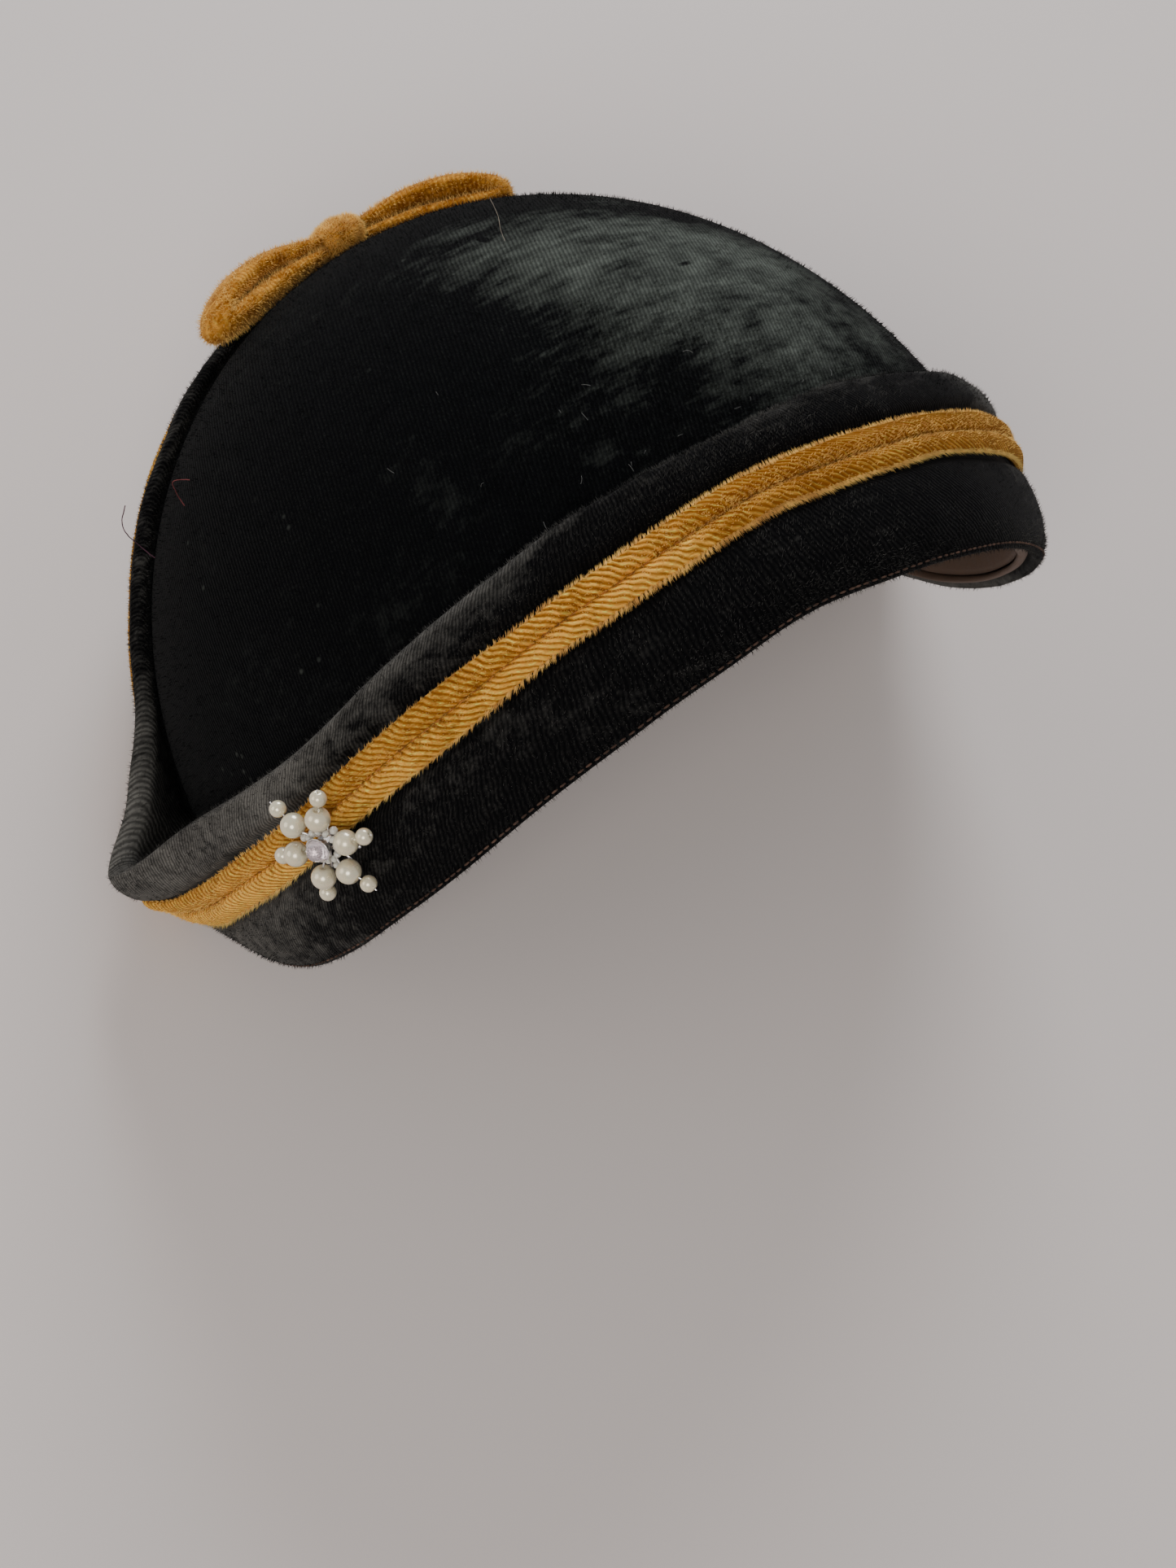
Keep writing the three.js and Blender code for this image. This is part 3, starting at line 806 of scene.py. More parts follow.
def crown_grid(out_top, out_under, rim_drop):
    """The crown between two distances from its velvet, as rings down outside and up inside."""
    turn = round_about(CROWN_TURNS)
    cuff = cuff_at(turn)
    rim = cuff_polar(cuff, rim_share(cuff)) + rim_drop
    down = np.concatenate([np.linspace(0.006, 0.12, 6), np.linspace(0.15, 1, 60)])
    up = np.linspace(0.99, 0.01, 36)
    rings = [(share, out_top) for share in down] + [(1 + 0.002, (out_top + out_under) / 2)]
    rings += [(share, out_under) for share in up]
    polar = np.stack([share * rim for share, _ in rings])
    out = np.array([o for _, o in rings])[:, None]
    ripple = 0.12 * wander(turn, 4, (3, 5, 8)) * np.sin(np.radians(polar)) ** 2
    settled = settle(shell_point(np.broadcast_to(turn, polar.shape), polar, out + ripple))
    # The crown's cloth carries its painted sheen share as the third value of lay.
    return settled, crown_lay(turn, polar, painted_sheen_share(turn, polar))


class HALFHAT_OT_crown(bpy.types.Operator):
    """The stiff crown: stretched velvet outside, thin lining inside and a short pile over it"""

    bl_idname = "half_hat.crown"
    bl_label = "Crown"

    def execute(self, context):
        sizes = context.scene.half_hat_cloth
        velvet_finish = plain_velvets(sizes)[0]
        grid, lay = crown_grid(0.0, VELVET_UNDER, 0.0)
        shell = finished(loft("crown_velvet_shell", grid, True, lay=lay),
                         velvet_finish, ["crown"])
        grid, lay = crown_grid(LINING_TOP, -CLOTH, -0.15)
        lining = finished(loft("crown_lining", grid, True, lay=lay),
                          lining_cloth(sizes.lining))
        self.pile(sizes, velvet_finish)
        return {"FINISHED"}

    def pile(self, sizes, finish):
        draws = np.random.default_rng(11)
        count = sizes.crown_fibres
        turn = draws.uniform(-180, 180, count)
        cuff = cuff_at(turn)
        edge = cuff_polar(cuff, 0.84)
        drop = draws.uniform(0, 1, count) * (1 - np.cos(np.radians(edge)))
        polar = np.degrees(np.arccos(1 - drop))
        roots = settle(shell_point(turn, polar, -0.05))
        above = settle(shell_point(turn, polar, 1.0))
        down = settle(shell_point(turn, polar + 0.6, -0.05))
        ways = (above - roots) + 0.55 * (down - roots) + draws.normal(0, 0.22, (count, 3))
        # The fibres carry the crown's painted sheen share.
        lay = crown_lay(turn, polar, painted_sheen_share(turn, polar))
        fuzz = tufts("crown_pile", roots, ways, sizes.pile_length, BLACK_FIBRE_WIDTH, 12, lay)
        finished(fuzz, finish)


def cuff_surface(turn, dense=3):
    """The cuff as worn: its rounded section carried round the hem, softly uneven outside."""
    cuff = cuff_at(turn)
    section = cuff_section(cuff)
    rise = np.stack([r for r, _ in section], -1)
    depth = np.stack([d for _, d in section], -1)
    lines = smoothed(np.stack([rise, depth], -1), dense)
    rise, depth = lines[..., 0], lines[..., 1]
    wide = {k: v[:, None] for k, v in cuff.items()}
    outer = np.clip((depth - 0.3) / 0.4, 0, 1)
    low_soft = wander(turn, 21, (7, 11, 17, 23))[:, None] * (1 - rise)
    high_soft = wander(turn, 22, (9, 13, 19, 29, 41))[:, None] * rise
    fine = wander(turn, 23, (61, 83, 97))[:, None] * np.clip((rise - 0.8) / 0.2, 0, 1)
    seat = (rise > wide["low"] - 0.03) & (rise < wide["high"] + 0.03) & (depth > 0.3)
    puff = np.where(seat, 0, outer * (0.28 * low_soft + 0.3 * high_soft + 0.07 * fine))
    out = inner_face(wide, rise) + depth * padding_at(wide) + puff
    spread = np.broadcast_to(turn[:, None], rise.shape)
    return shell_point(spread, cuff_polar(wide, rise), out), rise, depth


def run_along(turn, polar, out=3.0):
    """How far round the hat each turn lies along a line at some angles down, in millimetres."""
    return lengths_along(shell_point(turn, polar, out))


class HALFHAT_OT_cuff(bpy.types.Operator):
    """The turned-up cuff: padded velvet with a rounded free edge, its pile and its sewn hem"""

    bl_idname = "half_hat.cuff"
    bl_label = "Cuff"

    def execute(self, context):
        sizes = context.scene.half_hat_cloth
        finish = plain_velvets(sizes)[1]
        turn = round_about(CUFF_TURNS)
        worn, rise = cuff_surface(turn)[:2]
        along = run_along(turn, cuff_polar(cuff_at(turn), 0.6))
        width = cuff_at(turn)["width"][:, None] * CUFF_WIDTH
        # Painted sheen: the cuff is painted lighter round its corners near turn 88 on both sides,
        # and a painted highlight runs along its free edge.
        painted_corner_sheen = np.exp(-((np.abs(turn[:, None]) - 88) / 24) ** 2)
        edge = 0.36 + 0.3 * wander(turn, 24, (3, 5, 9))[:, None]
        edge = np.clip((rise - 0.86) / 0.12, 0, 1) * edge
        lit = np.clip(0.06 + 1.1 * painted_corner_sheen + edge, 0, 1)
        lay = np.stack([np.broadcast_to(along[:, None], rise.shape), rise * width, lit], -1)
        cuff = loft("cuff_velvet_roll", settle(worn), lay=lay)
        finished(cuff, finish, ["cuff"])
        self.pile(sizes, finish)
        self.hem(sizes)
        return {"FINISHED"}

    def pile(self, sizes, finish):
        """Fibres over the cuff's outside, closer together on its free edge and on the fold."""
        draws = np.random.default_rng(31)
        steps = 3
        edges = np.concatenate([np.arange(5, 10, 1 / steps), np.arange(20, 23, 1 / steps)]) * steps
        faces = np.concatenate([np.arange(9, 12, 1 / steps), np.arange(17, 22, 1 / steps)]) * steps
        slots = np.concatenate([draws.choice(edges, sizes.edge_fibres),
                                draws.choice(faces, sizes.cuff_fibres)])
        slots = np.round(slots).astype(int)
        turn = draws.uniform(-180, 180, len(slots))
        row = np.arange(len(slots))
        points = cuff_surface(turn, steps)[0]
        around = points.shape[1]
        ahead = points[row, (slots + 1) % around] - points[row, slots]
        here = points[row, slots] + ahead * draws.uniform(0, 1, (len(slots), 1))
        beside = cuff_surface(turn + 0.4, steps)[0][row, slots] - points[row, slots]
        normal = np.cross(beside, ahead)
        outward = here - points[:, ::steps].mean(1)
        normal *= np.sign(np.einsum("ij,ij->i", normal, outward))[:, None]
        normal = unit(normal)
        lean = np.where(row < sizes.edge_fibres, 0.1, 0.6)[:, None]
        ways = normal - lean * unit(ahead)
        ways += draws.normal(0, 0.25, ways.shape)
        roots = settle(here - 0.05 * normal)
        keep = roots[:, 2] > 0.6
        # The cuff's fibres get a painted sheen share of 0.7.
        lay = np.stack([turn * 1.7, slots * 0.7, np.full(len(turn), 0.7)], -1)
        roots, ways, lay = roots[keep], leaned(ways)[keep], lay[keep]
        fuzz = tufts("cuff_pile", roots, ways, sizes.pile_length, BLACK_FIBRE_WIDTH, 32, lay)
        finished(fuzz, finish)

    def hem(self, sizes):
        """The binding inside the fold, and the fine stitches that hold it."""
        turn = round_about(CUFF_TURNS)
        cuff = cuff_at(turn)
        roll = BINDING_WIDTH / 2
        below = RIM_RISE - SEAM_GAP - roll
        angle = circle(14)[None, :]
        polar = cuff["hem"][:, None] - np.degrees((below + roll * np.sin(angle)) / MEAN_RADIUS)
        out = -CLOTH / 2 + roll * np.cos(angle) * (1 + 0.06 * wander(turn, 41, (90, 131))[:, None])
        spread = np.broadcast_to(turn[:, None], polar.shape)
        along = run_along(turn, cuff["hem"])
        lay = np.stack(np.broadcast_arrays(along[:, None], angle * roll, 0.5), -1)
        binding = loft("hem_binding_roll", settle(shell_point(spread, polar, out)), lay=lay)
        finished(binding, lining_cloth(sizes.lining), ["hem_binding"])
        stitch_line("hem_stitches", sizes.thread, 1.9, self.fold_line, 1.25, 0.2)

    def fold_line(self, turn):
        cuff = cuff_at(turn)
        return cuff_polar(cuff, 0.022), SEAM_GAP + 0.43 * padding_at(cuff) + 0.12


def stitch_line(name, colour, pitch, place, length, radius):
    """Short stitches of thread round the hat, each a small capsule bent at its ends."""
    turn = round_about(STITCH_TURNS)
    polar, out = place(turn)
    worn = shell_point(turn, polar, out)
    line = settle(worn)
    run = lengths_along(line)
    outward = unit(leaned(shell_point(turn, polar, out + 1) - worn))
    starts = np.arange(pitch / 2, run[-1] - pitch, pitch)
    starts += pitch * np.random.default_rng(71).normal(0, 0.07, len(starts))
    parts = np.linspace(0, 1, 7)
    around = circle(6)[None, None, :, None]
    at = starts[:, None] + parts[None, :] * length
    centre = np.stack([np.interp(at, run, line[:, i]) for i in range(3)], -1)
    out_way = np.stack([np.interp(at, run, outward[:, i]) for i in range(3)], -1)
    side = np.cross(unit(np.gradient(centre, axis=1)), out_way)
    lift = radius * 0.9 * np.sin(math.pi * parts)[None, :, None] * out_way - 0.1 * out_way
    taper = radius * (0.35 + 0.65 * np.sin(math.pi * np.clip(parts, 0.04, 0.96)) ** 0.5)
    ring = np.cos(around) * side[:, :, None] + np.sin(around) * out_way[:, :, None]
    points = (centre + lift)[:, :, None] + taper[None, :, None, None] * ring
    return many_rods(name, points, fibre(name + "_thread", colour))


def many_rods(name, points, material):
    """Separate rods with capped ends: points is (rods, rings, sides, 3)."""
    rods, rings, sides = points.shape[:3]
    base = (np.arange(rods) * rings * sides)[:, None, None]
    quads = (ring_faces(rings, sides)[None] + base).reshape(-1, 4)
    fan = np.array([(0, a + 1, a) for a in range(1, sides - 1)])
    end = (rings - 1) * sides
    other = np.array([(end, end + a, end + a + 1) for a in range(1, sides - 1)])
    triangles = (np.concatenate([fan, other])[None] + base).reshape(-1, 3)
    flat = points.reshape(-1, 3).copy()
    flat[:, 2] = np.maximum(flat[:, 2], 0)
    if inside_out(quads, flat):
        quads, triangles = quads[:, ::-1], triangles[:, ::-1]
    return finished(to_mesh(name, flat, quads, triangles), material)


def band_seat(cuff, rise):
    """How far out the band lies on the cuff."""
    return inner_face(cuff, rise) + SEAT_DEPTH * padding_at(cuff) + SEAM_GAP


def band_surface(turn, steps=5):
    """The gold band as worn: two padded ridges and a creased middle, crossed by ribs of pile."""
    cuff = cuff_at(turn)
    section = smoothed(np.array(BAND_SECTION, float), steps)
    under = 2 * steps
    section = np.concatenate([section[:under:steps], section[under:]])
    section = np.broadcast_to(section, (len(turn), *section.shape))
    along, lift = section[..., 0], section[..., 1]
    wide = {k: v[:, None] for k, v in cuff.items()}
    breadth = (wide["high"] - wide["low"]) * wide["width"] * CUFF_WIDTH
    soft = 1 + 0.05 * wander(turn, 51, (8, 13, 21))[:, None]
    rise = wide["low"] + (wide["high"] - wide["low"]) * (0.5 + (along - 0.5) * soft)
    run = run_along(turn, cuff_polar(cuff, 0.62))[:, None]
    ribbed = rib_share(turn)[:, None]
    uneven = 0.35 * wander(turn, 55, (47, 71, 103))[:, None] * np.where(along > 0.5, 1, -1)
    ribs = run + rib_slant(along) * breadth + uneven
    rib = np.clip((lift - 0.35) / 0.4, 0, 1) * ribbed * 0.4
    rib = rib * np.cos(2 * math.pi * ribs / RIB_PITCH)
    puff = 0.1 * wander(turn, 52, (17, 29, 43))[:, None] * np.clip(lift, 0, 1)
    out = band_seat(wide, rise) + lift * BAND_THICKNESS + rib + puff
    spread = np.broadcast_to(turn[:, None], rise.shape)
    return shell_point(spread, cuff_polar(wide, rise), out), along, ribs, breadth


def rib_slant(along):
    """How far each rib runs on as it crosses the band, in shares of the band's width."""
    return np.where(along > 0.5, 1.5 * (along - 0.5), 1.6 * along)


def rib_share(turn):
    """How strongly the pile parts into ribs: most at the front right, little at the left."""
    front_right = 1 / (1 + np.exp((turn + 22) / 5)) / (1 + np.exp(-(turn + 72) / 3))
    elsewhere = 0.3 + 0.3 * wander(turn, 53, (2, 5, 9))
    return np.clip(front_right + elsewhere * (np.abs(turn + 47) > 40), 0.06, 1)


class HALFHAT_OT_band(bpy.types.Operator):
    """The gold velvet band: ribbed pile, fluffy edges and small stitches down its crease"""

    bl_idname = "half_hat.band"
    bl_label = "Gold band"

    def execute(self, context):
        sizes = context.scene.half_hat_cloth
        finish = plain_velvets(sizes)[2]
        turn = round_about(BAND_TURNS)
        worn, along, ribs, breadth = band_surface(turn)
        # Painted highlight: the band is painted paler where light falls on it: for turns below
        # -14, most round turn -34 and turn -88, in uneven stretches more than 60 degrees from turn
        # -45, and more on its lower ridge.
        pale = 0.05 + 0.3 / (1 + np.exp((turn + 14) / 4)) + 0.7 * np.exp(-((turn + 34) / 20) ** 2)
        pale = pale + 0.55 * np.exp(-((turn + 88) / 16) ** 2)
        pale = pale + 0.35 * np.clip(wander(turn, 54, (2, 3, 7)), 0, 1) * (np.abs(turn + 45) > 60)
        lit = np.clip(pale[:, None] * (0.55 + 0.6 * (along < 0.5)), 0, 1)
        lay = np.stack([ribs, along * breadth, lit], -1)
        band = loft("gold_band_roll", settle(worn), lay=lay)
        finished(band, finish, ["gold_band"])
        self.tufted_edges(sizes)
        stitch_line("band_stitches", sizes.band_thread, 3.1, self.crease, 1.7, 0.15)
        return {"FINISHED"}

    def crease(self, turn):
        cuff = cuff_at(turn)
        middle = (cuff["low"] + cuff["high"]) / 2
        return cuff_polar(cuff, middle), band_seat(cuff, middle) + BAND_THICKNESS * 0.42

    def tufted_edges(self, sizes):
        """Tufts along both edges, longest at the lower one, and a short pile between them."""
        draws = np.random.default_rng(61)
        groups = []
        for edge, count, lean in ((0.0, sizes.band_fibres, -1.0),
                                  (1.0, int(sizes.band_fibres * 0.7), 1.0),
                                  (0.5, int(sizes.band_fibres * 1.3), 0.0)):
            turn = draws.uniform(-180, 180, count)
            if lean:
                turn = np.round(turn / TUFT_STEP) * TUFT_STEP + draws.normal(0, TUFT_SPREAD, count)
            cuff = cuff_at(turn)
            across = edge + draws.normal(0, 0.03 if edge != 0.5 else 0.2, count)
            across = np.clip(across, -0.02, 1.02)
            rise = cuff["low"] + (cuff["high"] - cuff["low"]) * across
            profile = np.interp(across, *BAND_TOP)
            polar = cuff_polar(cuff, rise)
            share = 0.55 if edge != 0.5 else 0.97
            high = band_seat(cuff, rise) + profile * BAND_THICKNESS * share
            root = shell_point(turn, polar, high)
            outward = shell_point(turn, polar, high + 1) - root
            edgeways = shell_point(turn, polar - 0.5 * lean, high) - root if lean else 0 * outward
            ways = outward * (0.55 if lean else 1.0) + 1.3 * edgeways
            ways = ways + draws.normal(0, 0.2, outward.shape)
            reach = sizes.pile_length * (0.9 if edge == 0.5 else 1.9 if edge == 0 else 1.35)
            groups.append((settle(root), leaned(ways), np.full(count, reach)))
        roots, ways, reach = (np.concatenate(part) for part in zip(*groups))
        fuzz = tufts("gold_band_pile", roots, ways, reach, BAND_FIBRE_WIDTH, 62)
        finished(fuzz, fibre("gold_fibres", GOLD_FIBRE, 0.26))


# The bow

def bow_place(side, along, out, across):
    """A point of the bow on the crown's back: along it from the knot, out and across."""
    radius = HALF_BREADTH * math.sin(math.radians(BOW_POLAR))
    turn = BOW_TURN - side * np.degrees((KNOT_WIDTH / 2 + SEAM_GAP + along) / radius)
    slip = side * along * math.tan(math.radians(BOW_TILT))
    return shell_point(turn, BOW_POLAR + np.degrees((across + slip) / MEAN_RADIUS), out)


def bow_loop(name, side, finish):
    """One loop: a padded strip that leaves the knot, turns over and comes back above itself."""
    line = smoothed(np.array(BOW_ROWS, float), 8, closed=False)
    along, lift, full = line[:, 0] * BOW_REACH, line[:, 1] * BOW_RISE, line[:, 2]
    out = SEAM_GAP + BOW_THICKNESS / 2 + lift
    run = unit(np.stack([np.gradient(along), np.gradient(out)], -1))
    angle = circle(36, 0.5)
    full = full[:, None]
    length = lengths_along(np.stack([along, out], -1))[:, None]
    dent = 1 - 0.16 * np.exp(-((np.cos(angle) / 0.3) ** 2)) * (np.sin(angle) > 0)
    gathers = 0.16 * np.cos(7 * angle)[None, :] * np.exp(-length / 7)
    gathers = gathers + 0.05 * np.cos(length / 2.1 + 3 * angle)
    thick = np.sin(angle) * BOW_THICKNESS / 2 * full * dent + np.sign(np.sin(angle)) * gathers
    wide = np.cos(angle) * BOW_WIDTH / 2 * (full + 0.4 * (1 - full))
    along, out = along[:, None] - thick * run[:, 1:], out[:, None] + thick * run[:, :1]
    grid = bow_place(side, along, out, wide)
    # The loops' velvet gets a painted sheen share of 0.5.
    lay = np.stack([np.broadcast_to(length, wide.shape), wide, np.full(wide.shape, 0.5)], -1)
    piece = loft(name + "_velvet", settle(grid), True, lay=lay)
    return finished(piece, finish, [name])


class HALFHAT_OT_bow(bpy.types.Operator):
    """The gold velvet bow at the centre back: two looped strips, a gathered knot and their pile"""

    bl_idname = "half_hat.bow"
    bl_label = "Bow"

    def execute(self, context):
        sizes = context.scene.half_hat_cloth
        finish = plain_velvets(sizes)[3]
        pieces = [
            bow_loop("bow_loop_left", 1, finish),
            bow_loop("bow_loop_right", -1, finish),
            self.knot(finish, sizes.bow_fill),
        ]
        self.pile(sizes, pieces)
        return {"FINISHED"}

    def knot(self, finish, fill):
        height = BOW_RISE * 0.5 + BOW_THICKNESS * 1.1
        part = np.linspace(-1, 1, 33)[:, None]
        angle = circle(48)[None, :]
        full = np.sqrt(1 - 0.45 * part**2) * (1 - 0.12 * np.abs(part) ** 8)
        folds = 0.035 * np.cos(8.5 * part + 1.2 * np.sin(angle))
        folds = 1 + folds * np.clip(np.sin(angle) + 0.4, 0, 1)
        out = SEAM_GAP + height / 2 + height / 2 * full * folds * np.sin(angle)
        across = (BOW_WIDTH / 2 + 1) * full * folds * np.cos(angle)
        along = np.broadcast_to(part * KNOT_WIDTH / 2 - KNOT_WIDTH / 2 - SEAM_GAP, out.shape)
        # The knot's velvet gets a painted sheen share of 0.85, more than the loops'.
        lay = np.stack([angle * 5 + 0 * out, along, np.full(out.shape, 0.85)], -1)
        piece = loft("bow_knot_velvet", settle(bow_place(1, along, out, across)), True, lay=lay)
        return finished(piece, finish, ["bow_knot"])

    def pile(self, sizes, pieces):
        draws = np.random.default_rng(71)
        roots, ways = [], []
        for piece in pieces:
            mesh = piece.data
            count = len(mesh.vertices)
            co = np.empty(count * 3)
            no = np.empty(count * 3)
            mesh.vertices.foreach_get("co", co)
            mesh.vertex_normals.foreach_get("vector", no)
            pick = draws.integers(0, count - 2, int(sizes.bow_fibres / 3))
            normal = no.reshape(-1, 3)[pick]
            root = co.reshape(-1, 3)[pick] / MM + draws.normal(0, 0.12, (len(pick), 3))
            roots.append(root - 0.1 * normal)
            ways.append(normal + draws.normal(0, 0.35, normal.shape))
        roots, ways = np.concatenate(roots), np.concatenate(ways)
        fuzz = tufts("bow_pile", roots, ways, 1.2 * sizes.pile_length, BOW_FIBRE_WIDTH, 72)
        finished(fuzz, fibre("gold_fibres", GOLD_FIBRE, 0.26))


# The brooch

def middle_of(node):
    low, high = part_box(node)
    return np.array(low + high) / 2 / MM


def brooch_frame():
    """The brooch's middle on its beads' seat, and its ways: along its first arm, across, out."""
    pearls = np.array([middle_of(f"big_pearl_{i}") for i in range(1, ARMS + 1)])
    centre = pearls.mean(0)
    first = pearls[0] - centre
    out = unit(np.cross(first, pearls[1] - centre))
    first = unit(first - out * (first @ out))
    return centre - out * BIG_PEARL / 2, np.stack([first, np.cross(out, first), out])


def placed(points, seat, ways):
    return seat + np.asarray(points, float) @ ways


def arm_way(ways, angle):
    return math.cos(angle) * ways[0] + math.sin(angle) * ways[1]


def bead(radius, squash=1.0, hole=0.16, around=28, up=18):
    """A drilled bead about its own hole along x: a round form with a small dimple at each end."""
    a = np.linspace(0, math.pi, up)
    r, x = radius * np.sin(a), -radius * squash * np.cos(a)
    rim = np.argmax(r > hole * radius * 1.6)
    dimple = np.clip(1 - r / max(r[rim], 1e-6), 0, 1)
    x = x * (1 - 0.28 * dimple)
    t = circle(around)
    x = np.broadcast_to(x[:, None], (up, around))
    return np.stack([x, r[:, None] * np.cos(t), r[:, None] * np.sin(t)], -1)


def join_lofts(name, grids, material, replaced=()):
    """Many closed lofts with rounded ends as one piece."""
    points, quads, triangles, base = [], [], [], 0
    for grid in grids:
        rings, around = grid.shape[:2]
        inner = grid[1:-1].reshape(-1, 3)
        local = np.concatenate([inner, grid[0].mean(0)[None], grid[-1].mean(0)[None]])
        faces = ring_faces(rings - 2, around)
        caps = cap_faces(rings - 2, around, len(local) - 2, len(local) - 1)
        if inside_out(faces, local - local.mean(0)):
            faces, caps = faces[:, ::-1], caps[:, ::-1]
        points.append(local)
        quads.append(faces + base)
        triangles.append(caps + base)
        base += len(local)
    piece = to_mesh(name, *(np.concatenate(part) for part in (points, quads, triangles)))
    return finished(piece, material, replaced)


def rod_between(start, end, radius, sides=10):
    """A round wire from one point to another, with rounded ends."""
    start, end = np.asarray(start, float), np.asarray(end, float)
    way = unit(end - start)
    side = unit(np.cross(way, (0.3, 0.5, 0.81)))
    other = np.cross(way, side)
    t = circle(sides)
    ring = radius * (np.cos(t)[:, None] * side + np.sin(t)[:, None] * other)
    ends = [(0, 0.0, -1), (0, 0.6, -0.8), (0, 1, 0), (1, 1, 0), (1, 0.6, 0.8), (1, 0.0, 1)]
    return np.stack([
        (end if last else start) + way * radius * bulge + ring * max(size, 1e-3)
        for last, size, bulge in ends
    ])


class HALFHAT_OT_brooch(bpy.types.Operator):
    """The brooch: drilled pearls, a cut stone, seed beads and wires on a silver plate"""

    bl_idname = "half_hat.brooch"
    bl_label = "Brooch"

    def execute(self, context):
        sizes = context.scene.half_hat_brooch
        seat, ways = brooch_frame()
        self.pearls(sizes, ways)
        self.seeds(sizes, seat, ways)
        self.stone(sizes, ways)
        self.wires(seat, ways)
        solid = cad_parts["brooch_collar"]
        solid.data.materials.clear()
        solid.data.materials.append(silver_metal())
        return {"FINISHED"}

    def pearls(self, sizes, ways):
        """The twelve pearls, each where its solid is and turned a little on its wire."""
        draws = np.random.default_rng(81)
        finish = pearl_lustre("pearl_cream", sizes.pearl_colour)
        for kind, size in (("big_pearl", BIG_PEARL), ("small_pearl", SMALL_PEARL)):
            grids = []
            names = [f"{kind}_{i}" for i in range(1, ARMS + 1)]
            for name, angle in zip(names, circle(ARMS)):
                along = arm_way(ways, angle)
                tilt = draws.normal(0, 0.06, 2)
                turned = unit(along + tilt[0] * np.cross(ways[2], along) + tilt[1] * ways[2])
                side = unit(np.cross(ways[2], turned))
                own = np.stack([turned, side, np.cross(turned, side)])
                grids.append(placed(bead(size / 2, 0.985), middle_of(name), own))
            join_lofts(kind + "s", grids, finish, names)

    def seeds(self, sizes, seat, ways):
        """Small glass beads: a ring round the stone, and one in each gap between the arms."""
        finish = cut_glass("seed_glass", sizes.seed_colour, 0.3)
        grids = []
        for count, out, up, radius, squash in SEED_RINGS:
            for angle in circle(count, 0.5):
                along = arm_way(ways, angle)
                across = np.cross(ways[2], along)
                first, second = (along, across) if count == ARMS else (across, along)
                own = np.stack([first, second, ways[2]])
                middle = seat + along * out + ways[2] * up
                grids.append(placed(bead(radius, squash, 0.3, 14, 12), middle, own))
        join_lofts("seed_beads", grids, finish)

    def stone(self, sizes, ways):
        """A round brilliant stone: a table, two rows of facets, a thin belt and a deep back."""
        base = middle_of("brooch_crystal") - ways[2] * CRYSTAL_HEIGHT / 2
        r = CRYSTAL_DIAMETER / 2
        rows = [
            (circle(8, 0.5), 0.52 * r, CRYSTAL_HEIGHT),
            (circle(8), 0.78 * r, 0.78 * CRYSTAL_HEIGHT),
            (circle(16), r, 0.46 * CRYSTAL_HEIGHT), (circle(16), r, 0.38 * CRYSTAL_HEIGHT),
        ]
        points = [(s * math.cos(a), s * math.sin(a), z) for angles, s, z in rows for a in angles]
        points += [(0, 0, 0.02)]
        form = bmesh.new()
        for p in placed(points, base, ways) * MM:
            form.verts.new(p)
        bmesh.ops.convex_hull(form, input=form.verts)
        mesh = bpy.data.meshes.new("cut_stone")
        form.to_mesh(mesh)
        form.free()
        piece = bpy.data.objects.new("cut_stone", mesh)
        bpy.context.scene.collection.objects.link(piece)
        finished(piece, cut_glass("stone_glass", sizes.stone_colour),
                 ["brooch_crystal"])
        cup = []
        t = circle(24)
        for wide, up in CUP_PROFILE:
            wide = max(wide * r, 0.001)
            cup.append(np.stack([wide * np.cos(t), wide * np.sin(t), np.full(len(t), up)], -1))
        join_lofts("stone_cup", [placed(np.array(cup), base, ways)], silver_metal())

    def wires(self, seat, ways):
        """A star of wire under the pearls, and the ends of the wires they are strung on."""
        wires = [(angle, (0, -0.75), (3.4, -0.4), 0.25) for angle in circle(ARMS, 0.5)]
        wires += [(angle, *wire) for angle in circle(ARMS) for wire in ARM_WIRES]
        grids = []
        for angle, *ends, radius in wires:
            start, end = (seat + arm_way(ways, angle) * out + ways[2] * up for out, up in ends)
            grids.append(rod_between(start, end, radius))
        join_lofts("brooch_wires", grids, silver_metal(), ["brooch_plate"])
        twist = math.radians(BROOCH_TWIST)
        bar = math.cos(twist) * ways[0] - math.sin(twist) * ways[1]
        low = seat - ways[2] * PIN_DROP
        rod = rod_between(low - bar * PIN_REACH, low + bar * PIN_REACH, 0.4)
        join_lofts("brooch_pin_bar", [rod], silver_metal(), ["brooch_pin"])


